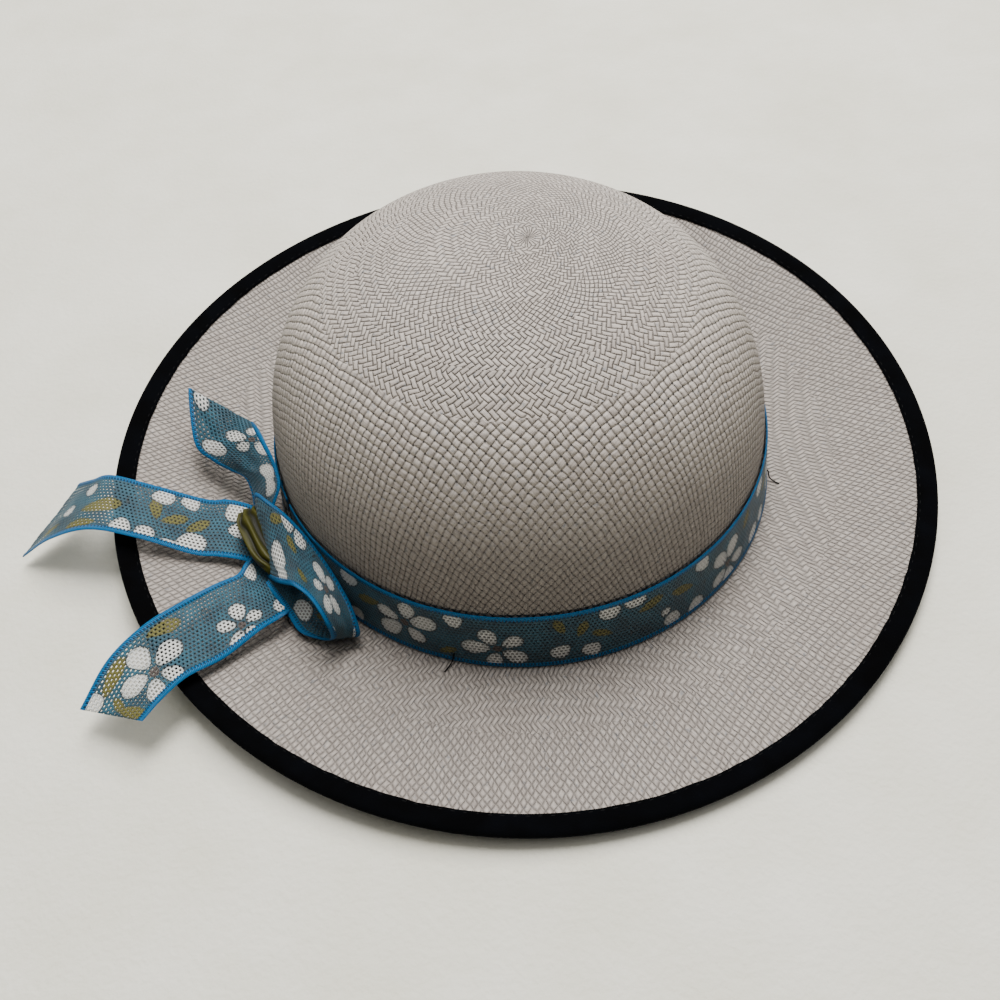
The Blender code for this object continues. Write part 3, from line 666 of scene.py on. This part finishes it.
def printed_mesh():
    """Attribute strip is the place on the ribbon in mm. Attributes petals and leaves hold how
    far inside the print's motifs it is, in mm: a petal and a flower's heart, a leaf and ink."""
    material, shader, join, add, calc, mix = shading("printed_mesh_ribbon", TEAL, 0.6)
    strip = kept(add, "strip")
    parts = split(add, strip)
    printed = split(add, kept(add, "petals"))
    leafy = split(add, kept(add, "leaves"))
    rough = clouds(add, strip, 1.1, 2.0)
    fray = calc("MULTIPLY_ADD", rough, 0.8, -0.4)
    cloudy = clouds(add, strip, 0.13, 3.0)
    ground = mix(soft_step(calc, cloudy, 0.35, 0.68), TEAL_DEEP, TEAL)
    lit = calc("MULTIPLY", soft_step(calc, rough, 0.5, 0.8), 0.35)
    ground = mix(lit, ground, TEAL_LIGHT)
    leaf_depth = calc("ADD", leafy[0], fray)
    leaf_tone = mix(rough, LEAF_DARK, LEAF)
    leaf_colour = mix(soft_step(calc, leaf_depth, 0.25, 0.75), LEAF_DARK, leaf_tone)
    ground = mix(soft_step(calc, leaf_depth, 0.0, 0.25), ground, leaf_colour)
    petal_depth = calc("ADD", printed[0], calc("MULTIPLY", fray, 0.6))
    petal_tone = mix(soft_step(calc, petal_depth, 0.0, 1.6), PETAL_SHADE, PETAL)
    patchy = calc("MULTIPLY", soft_step(calc, rough, 0.45, 0.75), 0.25)
    petal_tone = mix(patchy, petal_tone, PETAL_SHADE)
    ground = mix(soft_step(calc, petal_depth, -0.35, -0.1), ground, INK_AND_HOLE_SHADE)
    ground = mix(soft_step(calc, petal_depth, 0.0, 0.22), ground, petal_tone)
    ground = mix(soft_step(calc, calc("ADD", leafy[1], fray), 0.0, 0.25), ground, INK_AND_HOLE_SHADE)
    ground = mix(soft_step(calc, calc("ADD", printed[1], fray), 0.0, 0.3), ground, FLOWER_HEART)

    def thread_of(place_across):
        """1 on the middle of a thread, 0 half way to the next."""
        turn = calc("PINGPONG", place_across, 0.5)
        return calc("SUBTRACT", 1.0, calc("MULTIPLY", turn, 2.0))

    # Each row's openings are half a pitch along from those of the row before it.
    lane = calc("DIVIDE", parts[1], MESH_PITCH)
    stagger = calc("MULTIPLY", calc("MODULO", calc("FLOOR", calc("ADD", lane, 100.0)), 2.0), 0.5)
    warp = thread_of(calc("ADD", calc("DIVIDE", parts[0], MESH_PITCH), stagger))
    weft = thread_of(lane)
    cloth = calc("MAXIMUM", warp, weft)
    opened = clouds(add, strip, 0.35, 2.0)
    # The ink of a petal closes the openings a little.
    inked = calc("MULTIPLY_ADD", soft_step(calc, petal_depth, 0.0, 0.3), 0.10, 0.27)
    solid = calc("GREATER_THAN", cloth, calc("MULTIPLY_ADD", opened, 0.3, inked))
    # Painted shade: the cloth is painted darker, in the print's ink colour, where its threads thin
    # round each opening.
    colour = mix(soft_step(calc, cloth, 0.25, 0.95), mix(0.75, ground, INK_AND_HOLE_SHADE), ground)
    join(shader.inputs["Base Color"], colour)
    join(shader.inputs["Alpha"], solid)
    over = calc("GREATER_THAN", warp, weft)
    height = calc("ADD", cloth, calc("MULTIPLY", over, 0.15))
    emboss(shader, join, add, height, 0.8, 0.3 * MM)
    shader.inputs["Sheen Weight"].default_value = 0.15
    return material


def overlocked_edge():
    """Attribute strip is the place along the edge and round it, in mm."""
    material, shader, join, add, calc, mix = shading("overlocked_blue_edge", EDGE_BLUE, 0.42)
    strip = kept(add, "strip")
    parts = split(add, strip)
    lean = calc("ADD", parts[0], calc("MULTIPLY", parts[1], 0.25))
    loop = calc("ABSOLUTE", calc("SINE", calc("MULTIPLY", lean, math.pi / EDGE_LOOP)))
    slub = clouds(add, strip, 0.9, 3.0)
    blue = mix(slub, EDGE_DEEP, EDGE_LIGHT)
    # Painted shade: the edge is painted darker in the grooves between the overlock's loops.
    blue = mix(soft_step(calc, loop, 0.0, 0.5), EDGE_GROOVE_SHADE, blue)
    # The overlock's needle thread shows as a row of dark dots along the inner side.
    dots = calc("GREATER_THAN", calc("SINE", calc("MULTIPLY", parts[0], math.pi / EDGE_LOOP)), 0.1)
    row = calc("LESS_THAN", calc("ABSOLUTE", calc("SUBTRACT", parts[2], 0.45)), 0.36)
    join(shader.inputs["Base Color"], mix(calc("MULTIPLY", dots, row), blue, EDGE_DOT))
    emboss(shader, join, add, loop, 0.6, 0.3 * MM)
    shader.inputs["Specular IOR Level"].default_value = 0.25
    return material


PRINTED_MESH, OVERLOCKED_EDGE = printed_mesh(), overlocked_edge()


def print_depths(along, across, flowers, leaves, sprigs, dots):
    """How far inside each kind of motif the places on the ribbon are, in mm."""
    far = np.full(along.shape, -9.0)
    petal, heart, leaf, ink = far.copy(), far.copy(), far.copy(), far.copy()

    def oval(a, b, length, width, turn):
        c, s = math.cos(turn), math.sin(turn)
        x, y = (along - a) * c + (across - b) * s, (across - b) * c - (along - a) * s
        y = y * (1 + 0.35 * np.clip(-x / length * 2, -0.2, 1))
        size = np.hypot(x / (length / 2), y / (width / 2))
        return (1 - size) * width / 2

    def stroke(a, b, c, d, width):
        px, py, dx, dy = along - a, across - b, c - a, d - b
        t = np.clip((px * dx + py * dy) / (dx * dx + dy * dy), 0, 1)
        return width / 2 - np.hypot(px - t * dx, py - t * dy)

    for a, b, size, degrees in flowers:
        for k in range(5):
            turn = math.radians(degrees + 72 * k + 7 * math.sin(3.1 * k + a))
            length = size * (0.84 + 0.12 * math.sin(2.3 * k + a))
            reach = size * 0.22 + length / 2
            petal = np.maximum(petal, oval(a + reach * math.cos(turn), b + reach * math.sin(turn),
                                           length, length * 0.72, turn))
            ink = np.maximum(ink, stroke(a, b, a + size * 0.5 * math.cos(turn),
                                         b + size * 0.5 * math.sin(turn), 0.6))
        heart = np.maximum(heart, size * 0.17 - np.hypot(along - a, across - b))
    for a, b, length, degrees in leaves:
        turn = math.radians(degrees)
        leaf = np.maximum(leaf, oval(a, b, length, length * 0.45, turn))
        tail = (a - length * 0.75 * math.cos(turn), b - length * 0.75 * math.sin(turn))
        ink = np.maximum(ink, stroke(*tail, a + length * 0.3 * math.cos(turn),
                                     b + length * 0.3 * math.sin(turn), 0.4))
    for a, b, length, degrees in sprigs:
        for k, spread in enumerate((0, 28, -26, 50, -48)):
            turn = math.radians(degrees + spread)
            reach = length * (1 - 0.11 * k)
            ink = np.maximum(ink, stroke(a, b, a + reach * math.cos(turn),
                                         b + reach * math.sin(turn), 0.55))
    for a, b, size in dots:
        petal = np.maximum(petal, oval(a, b, size * 1.15, size, 0.4 * a))
    return petal, heart, leaf, ink


def ribbon_pieces(name, body, first, second, prints, edges):
    """A length of ribbon between two rows of edge points: the mesh, and its overlocked edges.
    prints are the flowers, leaves, sprigs and dots, and edges names the two edge pieces."""
    first, second = np.array(first), np.array(second)
    centre = (first + second) / 2
    way = np.concatenate([[0], np.cumsum(np.linalg.norm(np.diff(centre, axis=0), axis=1))]) / MM
    step = np.gradient(centre, axis=0)
    step /= np.linalg.norm(step, axis=1)[:, None]
    across = second - first
    wide = np.linalg.norm(across, axis=1)
    across /= wide[:, None]
    face = np.cross(step, across)
    face /= np.linalg.norm(face, axis=1)[:, None]
    shares = np.linspace(0, 1, RIBBON_COLUMNS)
    side = (MESH_INSET / wide)[:, None]
    t = (side + (1 - 2 * side) * shares)[..., None]
    rows = first[:, None] * (1 - t) + second[:, None] * t
    along = np.repeat(way[:, None], RIBBON_COLUMNS, axis=1)
    sideways = np.repeat((shares * RIBBON_WIDTH / MM)[None], len(first), axis=0)
    # The cloth waves a little between its edges, and less where it lies on the crown.
    wave = np.array([[noise.noise(Vector((a * 0.11, b * 0.13, len(name))))
                      for b in sideways[0]] for a in way])
    free = np.sin(np.pi * shares)[None]
    rows += (wave * free * (0.25 if body == "hat" else 0.7) * MM)[..., None] * face[:, None]
    bm = bmesh.new()
    last_row, last_column = len(first) - 1, RIBBON_COLUMNS - 1
    bmesh.ops.create_grid(bm, x_segments=last_row, y_segments=last_column, size=1.0)
    at = [(round((v.co.x + 1) / 2 * last_row), round((v.co.y + 1) / 2 * last_column))
          for v in bm.verts]
    for vert, (i, j) in zip(bm.verts, at):
        vert.co = rows[i, j]
    cloth = place(bm, name, PRINTED_MESH, recalculate=False)
    picks = tuple(np.array(at).T)
    petal, heart, leaf, ink = print_depths(along, sideways, *prints)
    empty = np.zeros(len(at))
    write_vectors(cloth, "strip", np.stack([along[picks], sideways[picks], empty], 1))
    write_vectors(cloth, "petals", np.stack([petal[picks], heart[picks], empty], 1))
    write_vectors(cloth, "leaves", np.stack([leaf[picks], ink[picks], empty], 1))
    wall = cloth.modifiers.new("thickness", "SOLIDIFY")
    wall.thickness, wall.offset = RIBBON_CLOTH, 0.0
    made = [cloth]
    for edge_name, line, sign in zip(edges, (first, second), (1, -1)):
        bm = bmesh.new()
        rings, flats = [], []
        for i, (point, d) in enumerate(zip(line, way)):
            centre_point = point + across[i] * sign * EDGE_WIDTH / 2
            ring = []
            for k in range(EDGE_SIDES):
                turn = math.tau * k / EDGE_SIDES
                out, up = -sign * math.cos(turn), math.sin(turn)
                ring.append(bm.verts.new(centre_point + across[i] * out * EDGE_WIDTH / 2
                                         + face[i] * up * EDGE_CLOTH / 2))
                flats.append((d, k * 0.7, -math.cos(turn)))
            rings.append(ring)
        loops = [[bm.edges.new((ring[k - 1], ring[k])) for k in range(EDGE_SIDES)]
                 for ring in rings]
        for near, far in zip(loops, loops[1:]):
            bmesh.ops.bridge_loops(bm, edges=near + far)
        for end in (loops[0], loops[-1]):
            bmesh.ops.edgeloop_fill(bm, edges=end)
        edge = place(bm, edge_name, OVERLOCKED_EDGE, angle=80)
        write_vectors(edge, "strip", flats)
        made.append(edge)
    for piece, slot in zip(made, ("ribbon_mesh", "ribbon_edge", "ribbon_edge")):
        if body == "hat":
            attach(piece, "hat")
    return made


band_azimuths = ring_azimuths(BOW_AZIMUTH, BAND_GAP, BAND_STEPS)
band_offset = BAND_CLEARANCE + 0.6 * MM    # to the middle of the band's thickness
# One length of the print, in mm: its flowers, then its leaves, then its sprigs, each as
# (along, across, size, degrees), and lone petals as (along, across, size). It comes round
# again after PRINT_REPEAT.
PRINT_LENGTH = (
    [(64, 14, 11.5, 15), (98, 10, 11, 40), (193, 9, 11.5, -10)],
    [(49, 17, 11, 200), (80, 5, 8, 30), (120, 21, 9, 110), (128, 18, 9, 70), (135, 13, 9, 150),
     (154, 19, 11, 20), (168, 17, 11, 160), (207, 20, 9, 60)],
    [(146, 6, 8, 100), (112, 4, 6, 60), (180, 12, 7, 200)],
    [(120, 7, 7), (131, 5, 7), (138, 24, 8), (148, 25, 8), (163, 4, 7), (174, 3, 7),
     (178, 23, 7), (214, 4, 8), (222, 23, 8), (160, 10, 4), (83, 23, 7), (42, 4, 7)],
)
PRINT_REPEAT = 182
BAND_PRINT = tuple(
    [(motif[0] + PRINT_REPEAT * k, *motif[1:]) for k in (-1, 0, 1, 2, 3) for motif in kind]
    for kind in PRINT_LENGTH)
band_ribbon, band_edge_lower, band_edge_upper = ribbon_pieces(
    "band_ribbon_printed", "hat",
    [wall_point(a, BAND_FOOT, band_offset) for a in band_azimuths],
    [wall_point(a, BAND_FOOT + RIBBON_WIDTH, band_offset) for a in band_azimuths],
    BAND_PRINT, ("band_edge_lower_blue", "band_edge_upper_blue"))
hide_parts("band_ribbon")
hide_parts("band_edge_lower")
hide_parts("band_edge_upper")

# ---------------------------------------------------------------- band tacks
# Four small stitches of black thread hold the band's lower edge to the straw.
TACKS = {"front": 254.0, "side": 350.0, "back": 75.0, "rear_bow_side": 150.0}
# The thread's path: radians round the crown, then mm up it and out from the band's face.
TACK_PATH = [(0.004, 5.2, -0.6), (0.002, 4.4, 0.15), (0.0, 2.8, 0.2), (-0.004, 1.5, 0.5),
             (-0.012, 0.5, 2.2), (-0.02, 0.35, 4.2)]
TACK_OUT = 0.85 * MM


def thread_tube(points, diameter, material):
    """A round thread through points, closed at both ends."""
    curve = bpy.data.curves.new("thread", "CURVE")
    curve.dimensions, curve.bevel_depth, curve.bevel_resolution = "3D", diameter / 2, 3
    curve.use_fill_caps = True
    spline = curve.splines.new("BEZIER")
    spline.bezier_points.add(len(points) - 1)
    for knot, point in zip(spline.bezier_points, points):
        knot.co = point
        knot.handle_left_type = knot.handle_right_type = "AUTO"
    curve.materials.append(material)
    return curve


for name, degrees in TACKS.items():
    azimuth = math.radians(degrees)
    points = [wall_point(azimuth + turn, up * MM, band_offset + TACK_OUT + out * MM)
              for turn, up, out in TACK_PATH]
    holder = bpy.data.objects.new("thread", thread_tube(points, THREAD, BLACK_THREAD))
    bpy.context.scene.collection.objects.link(holder)
    bpy.context.view_layer.update()
    finished = holder.evaluated_get(bpy.context.evaluated_depsgraph_get())
    mesh = bpy.data.meshes.new_from_object(finished)
    bpy.data.objects.remove(holder)
    tack = bpy.data.objects.new("tack_stitch_" + name, mesh)
    bpy.context.scene.collection.objects.link(tack)
    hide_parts("band_tack_" + name)
    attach(tack, "hat")

# ---------------------------------------------------------------- bow core
# The same ribbon, gathered into a tight bundle inside the knot.
KNOT_OUT = Vector((math.cos(BOW_AZIMUTH), math.sin(BOW_AZIMUTH) * HEAD_OVAL, 0)).normalized()
KNOT_ALONG = Vector((0, 0, 1)).cross(KNOT_OUT)
core_low, core_high = (Vector(corner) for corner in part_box("bow_core"))
CORE_CENTRE = (core_low + core_high) / 2
CORE_DEEP, CORE_LONG, CORE_HIGH, CORE_PLEAT = 14 * MM, 25 * MM, 8 * MM, 0.05
bm = bmesh.new()
bmesh.ops.create_cube(bm, size=1.0)
bmesh.ops.subdivide_edges(bm, edges=bm.edges, cuts=11, use_grid_fill=True)
for vert in bm.verts:
    p = Vector(vert.co)
    round_p = p.normalized() * max(abs(p.x), abs(p.y), abs(p.z))
    p = p.lerp(round_p, 0.35)
    pleat = 1 + CORE_PLEAT * math.sin(p.y * 26 + 5 * p.x) * (1 - abs(2 * p.y) ** 4 * 0.5)
    vert.co = (CORE_CENTRE + KNOT_OUT * p.x * CORE_DEEP * pleat + KNOT_ALONG * p.y * CORE_LONG
               + Vector((0, 0, p.z * CORE_HIGH * pleat)))
bow_core = place(bm, "bow_core_gathered", PRINTED_MESH, angle=70)
core_verts = bow_core.data.vertices
write_vectors(bow_core, "strip", [(v.co.y / MM, (v.co.z + v.co.x) / MM, 0) for v in core_verts])
for motif in ("petals", "leaves"):
    write_vectors(bow_core, motif, [(-9, -9, 0)] * len(core_verts))    # no print here
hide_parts("bow_core")
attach(bow_core, "hat")

# ---------------------------------------------------------------- centre wrap
# A narrow strip of olive satin, pulled into pleats round the knot and sewn shut below.
WRAP_WIDTH, WRAP_CLOTH, WRAP_INSET = 11.0 * MM, 0.35 * MM, 1.3 * MM
SATIN_OLIVE, SATIN_DARK = (0.054, 0.051, 0.002), (0.006, 0.006, 0.001)


def olive_satin():
    material, shader, join, add, calc, mix = shading("olive_satin", SATIN_OLIVE, 0.5)
    strip = kept(add, "strip")
    fine = add("Mapping", {"Vector": strip, "Scale": (0.6, 6.0, 1.0)}).outputs[0]
    threads = clouds(add, fine, 1.0, 4.0)
    parts = split(add, strip)
    # Painted shade: the satin is painted darker in the hollows of its pleats, by the crease kept in
    # the strip's third place, and varies with its threads.
    tone = calc("MULTIPLY", parts[2], calc("MULTIPLY_ADD", threads, 0.6, 0.7))
    join(shader.inputs["Base Color"], mix(tone, SATIN_DARK, SATIN_OLIVE))
    join(shader.inputs["Roughness"], calc("MULTIPLY_ADD", threads, 0.25, 0.38))
    emboss(shader, join, add, threads, 0.4, 0.15 * MM)
    shader.inputs["Specular IOR Level"].default_value = 0.3
    return material


wrap_middle = CORE_CENTRE + KNOT_OUT * 4.0 * MM
WRAP_HALF_LENGTH, WRAP_TOP, WRAP_FOOT = 17.6 * MM, 9.8 * MM, 5.6 * MM
WRAP_TURNS, WRAP_COLUMNS = 120, 30
bm = bmesh.new()
bmesh.ops.create_grid(bm, x_segments=WRAP_TURNS, y_segments=WRAP_COLUMNS, size=1.0)
wrap_strip = []
for vert in bm.verts:
    turn, side = math.pi * (vert.co.x + 1), vert.co.y
    c, s = math.cos(turn), math.sin(turn)
    across, rise = math.copysign(abs(c) ** 0.6, c), math.copysign(abs(s) ** 0.7, s)
    # Pleats run round the knot and bunch where the strip is pulled tight at its two ends.
    sway = 1.1 * math.sin(2.0 * turn + 0.6)
    sway += 2.6 * noise.noise(Vector((c * 2.2, s * 2.2, side * 1.4)))
    crease = math.sin(side * 9.0 + sway)
    tight = 1 - 0.34 * abs(c) ** 3
    bulge = (1 - side**2) * 1.2 * MM + crease * 0.62 * MM
    reach_up = WRAP_TOP if rise > 0 else WRAP_FOOT
    vert.co = (wrap_middle + KNOT_OUT * (side * WRAP_WIDTH / 2 * tight - abs(c) ** 2 * 2.0 * MM)
               + KNOT_ALONG * across * (WRAP_HALF_LENGTH - WRAP_INSET + bulge)
               + Vector((0, 0, rise * (reach_up - WRAP_INSET + bulge))))
    # The third place keeps the crease, for the satin's painted shade in the pleats' hollows.
    wrap_strip.append((turn * 15, side * 4.5, 0.5 + 0.5 * crease))
centre_wrap = place(bm, "centre_wrap_satin", olive_satin(), recalculate=False, angle=80)
write_vectors(centre_wrap, "strip", wrap_strip)
cloth_wall = centre_wrap.modifiers.new("thickness", "SOLIDIFY")
cloth_wall.thickness, cloth_wall.offset = WRAP_CLOTH, 0.0
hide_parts("centre_wrap")
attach(centre_wrap, "hat")

# ---------------------------------------------------------------- bow tails and loops
# Two tails with slanted cut ends and two open loops, all of the same wired ribbon. Each
# comes out from under the satin wrap, where its root is fixed, and lifts from there.


def through(knots, steps):
    """Points on a smooth curve through the knots, with a number of steps between them."""
    ends = [2 * knots[0] - knots[1], *knots, 2 * knots[-1] - knots[-2]]
    points = []
    for a, b, c, d in zip(ends, ends[1:], ends[2:], ends[3:]):
        for step in range(steps):
            t = step / steps
            points.append(0.5 * (2 * b + (c - a) * t + (2 * a - 5 * b + 4 * c - d) * t**2
                                 + (3 * b - a - 3 * c + d) * t**3))
    return [*points, knots[-1]]


def evenly(points_a, points_b, pitch):
    """Both edges again with rows at an even pitch along the middle."""
    a, b = np.array(points_a), np.array(points_b)
    middle_line = (a + b) / 2
    way = np.concatenate([[0], np.cumsum(np.linalg.norm(np.diff(middle_line, axis=0), axis=1))])
    rows = np.linspace(0, way[-1], max(int(way[-1] / pitch), 8) + 1)
    return ([np.array([np.interp(r, way, line[:, k]) for k in range(3)]) for r in rows]
            for line in (a, b))


# For each: its body, its two rows of edge points in mm from the knot outwards (the row on the
# crown's side or the back first), its print, and where it starts and ends its bend.
RIBBONS = {
    "left_tail": ("tail_left", [
        ((-103, -29.5, 9.5), (-102, -55.5, 8.5)),
        ((-109, -28, 12.0), (-109, -54, 10.0)),
        ((-117, -26, 12.5), (-117, -53, 11)),
        ((-124.5, -26, 13), (-126, -53, 13)),
        ((-142, -24, 19.5), (-145, -50.5, 21)),
        ((-159.5, -21, 24), (-163, -48, 24)),
        ((-168, -20, 21), (-181, -46, 16.5)),
        ((-175, -18, 17), (-196, -44.5, 4.5)),
    ], ([],
        [(41, 11, 11, -72), (33, 14, 11, 208), (24, 14, 11, 222), (61, 15, 16, 196),
         (66, 24, 11, 4), (80, 22, 8, 20)],
        [(37, 18, 7, 75), (52, 12, 6, 240)],
        [(70, 6, 6), (40, 4, 8), (29, 3, 7.5), (51, 24, 8), (42, 25, 7.5), (25, 23, 10),
         (10, 5, 9.5), (8, 14, 8), (76, 15, 5), (33, 27, 6)]),
        (-0.105, -0.0395, 0.0105), (-0.125, -0.0395, 0.013)),
    "front_tail": ("tail_front", [
        ((-103, -50, 9.0), (-84, -68, 7.5)),
        ((-105.5, -57.5, 12), (-86, -77.5, 9.5)),
        ((-107, -64.5, 14.5), (-89.5, -84, 13)),
        ((-114, -70.5, 17), (-95.5, -89, 13.5)),
        ((-123, -81, 21.8), (-106.5, -100, 13.8)),
        ((-134.5, -90.5, 22.2), (-117, -109.5, 17.6)),
        ((-146, -102, 18.5), (-124, -117.5, 17.6)),
        ((-154.5, -117, 11.5), (-130, -125, 16)),
    ], ([(63, 17.5, 12.5, -17), (29, 21.5, 9.5, -34)],
        [(51, 5, 13, 172), (72, 5.5, 14, 190), (80, 22, 13, 95), (79, 14, 8, 60)],
        [(35, 6, 8, 60), (44, 9, 7, 150)],
        [(11, 3, 8), (81, 4, 7), (12, 24, 7)]),
        (-0.094, -0.070, 0.0135), (-0.103, -0.079, 0.0135)),
    "upper_loop": ("loop_upper", [
        ((-98, -45, 18), (-104.5, -34.5, 12)),
        ((-92.5, -41, 28), (-106, -26.5, 16)),
        ((-90.5, -36.5, 32.5), (-109, -20.5, 18.5)),
        ((-94, -25, 32), (-115, -16, 17.5)),
        ((-98.5, -15, 31.5), (-123, -11, 18.5)),
        ((-102, -7.5, 31), (-131, -3, 21)),
        ((-105, -2, 29.5), (-135, 19, 29.5)),
        ((-105, -2, 26), (-133, 16, 25)),
        ((-103.5, -12, 23), (-124, 1, 17.5)),
        ((-102, -22, 22), (-113, -11, 12.5)),
    ], ([(40, 4, 10, 48)],
        [(75, 10, 11, 60), (84, 18, 10, 130)],
        [(30, 16, 6, 20)],
        [(41, 21, 8.5), (58, 22, 6), (21, 6, 9), (14, 7, 8), (70, 20, 8), (90, 6, 8)]),
        (-0.0985, -0.035, 0.024), (-0.1035, -0.021, 0.024)),
    "lower_loop": ("loop_lower", [
        ((-103.5, -35, 13), (-97, -62, 9)),
        ((-102.5, -32.5, 23), (-94, -67, 13.5)),
        ((-96, -39.5, 26.5), (-90, -72.5, 19)),
        ((-89, -46.5, 27.5), (-86, -76, 22.5)),
        ((-82, -54.5, 27), (-81.5, -81, 28)),
        ((-75, -63.5, 25), (-75.9, -86.5, 29.5)),
        ((-68, -74, 22), (-71.8, -92, 28.5)),
        ((-62.8, -82.5, 17), (-69.6, -95, 23)),
        ((-60.4, -88.5, 11), (-70, -93.5, 14)),
        ((-61.5, -88, 7), (-74.5, -90, 7.5)),
        ((-63.5, -79.5, 11), (-82.3, -87, 8)),
        ((-70.5, -71.5, 15), (-87.5, -80, 9.5)),
        ((-79, -61.5, 16), (-91, -75, 11)),
        ((-88, -46.5, 15), (-97, -67, 10.5)),
    ], ([(52, 13, 9.5, 207)],
        [(30, 10, 9, 215), (21, 4, 9, 150), (38, 20, 8, 30), (86, 12, 10, 60), (102, 8, 10, 120)],
        [(42, 3, 6, 60)],
        [(27, 2, 7), (34, 4.5, 7), (20, 18, 10), (23, 25, 7.5), (66, 26, 6), (72, 2, 7), (93, 20, 9)]),
        (-0.097, -0.052, 0.018), (-0.085, -0.062, 0.024)),
}
CURVE_STEPS, ROW_PITCH = 12, 0.7 * MM
for name, (body, sections, prints, bend_start, bend_end) in RIBBONS.items():
    edge_a = through([Vector(a) * MM for a, _ in sections], CURVE_STEPS)
    edge_b = through([Vector(b) * MM for _, b in sections], CURVE_STEPS)
    edge_a, edge_b = evenly(edge_a, edge_b, ROW_PITCH)
    names = (name + "_inner_blue", name + "_outer_blue")
    pieces = ribbon_pieces(name + "_printed", body, edge_a, edge_b, prints, names)
    for piece, node in zip(pieces, (name, name + "_edge_inner", name + "_edge_outer")):
        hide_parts(node)
        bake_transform(piece)
        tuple(bend_start)
        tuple(bend_end)
    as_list(pieces[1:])

# ---------------------------------------------------------------- floor, light and camera
# A pale, clouded felt floor, and soft light from above and behind, as from a high window.
FLOOR_RADIUS, FELT, FELT_DARK, FELT_LIGHT = 3.0, (0.93, 0.915, 0.85), (0.86, 0.835, 0.70), (
    0.985, 0.965, 0.86)
bm = bmesh.new()
bmesh.ops.create_circle(bm, cap_ends=True, segments=96, radius=FLOOR_RADIUS)
floor_material, floor_shader, join, add, calc, mix = shading("pale_felt", FELT, 0.9)
floor_place = add("TexCoord").outputs["Object"]
cloudy = add("TexNoise", {"Vector": floor_place, "Scale": 14.0, "Detail": 6.0, "Roughness": 0.65})
nap = add("TexNoise", {"Vector": floor_place, "Scale": 420.0, "Detail": 3.0})
tone = soft_step(calc, cloudy.outputs["Fac"], 0.3, 0.7)
join(floor_shader.inputs["Base Color"], mix(tone, FELT_DARK, FELT_LIGHT))
felt = calc("ADD", nap.outputs["Fac"], calc("MULTIPLY", cloudy.outputs["Fac"], 3.0))
emboss(floor_shader, join, add, felt, 0.5, 0.8 * MM)
floor = place(bm, "floor", floor_material)


def soft_light(name, place_at, towards, size, power, colour):
    lamp = bpy.data.lights.new(name, "AREA")
    lamp.shape, lamp.size, lamp.energy, lamp.color = "DISK", size, power, colour
    holder = bpy.data.objects.new(name, lamp)
    holder.location = place_at
    aim = Vector(towards) - Vector(place_at)
    holder.rotation_euler = aim.to_track_quat("-Z", "Y").to_euler()
    bpy.context.scene.collection.objects.link(holder)


soft_light("window", (0.25, 1.0, 1.5), (0, 0, 0.03), 0.8, 19.0, (1.0, 0.99, 0.965))
soft_light("ceiling", (0.04, 0.42, 1.9), (0, 0, 0), 0.9, 35.0, (1.0, 0.985, 0.955))
# The room is bright overhead and behind the hat, and dark low down and in front.
world = bpy.data.worlds.new("room")
bpy.context.scene.world = world
world.use_nodes = True
sky = world.node_tree
towards = sky.nodes.new("ShaderNodeTexCoord").outputs["Generated"]
facing = sky.nodes.new("ShaderNodeVectorMath")
facing.operation = "DOT_PRODUCT"
facing.inputs[1].default_value = (0.05, 0.36, 0.93)
sky.links.new(towards, facing.inputs[0])
ramp = sky.nodes.new("ShaderNodeMapRange")
ramp.inputs["From Min"].default_value, ramp.inputs["From Max"].default_value = 0.42, 1.0
ramp.inputs["To Min"].default_value, ramp.inputs["To Max"].default_value = 0.01, 1.25
sky.links.new(facing.outputs["Value"], ramp.inputs["Value"])
background = sky.nodes["Background"]
background.inputs["Color"].default_value = (1.0, 0.99, 0.965, 1.0)
sky.links.new(ramp.outputs["Result"], background.inputs["Strength"])

camera_data = bpy.data.cameras.new("camera")
camera_data.sensor_width, camera_data.lens = 36.0, 39.59
camera = bpy.data.objects.new("camera", camera_data)
right = Vector((0.99888542, -0.01799642, -0.04363546))
up = Vector((0.04186885, 0.76465182, 0.64308211))
camera.matrix_world = Matrix.Translation((0, -0.30674, 0.33824)) @ Matrix(
    (right, up, right.cross(up))).transposed().to_4x4()
bpy.context.scene.collection.objects.link(camera)
bpy.context.scene.camera = camera
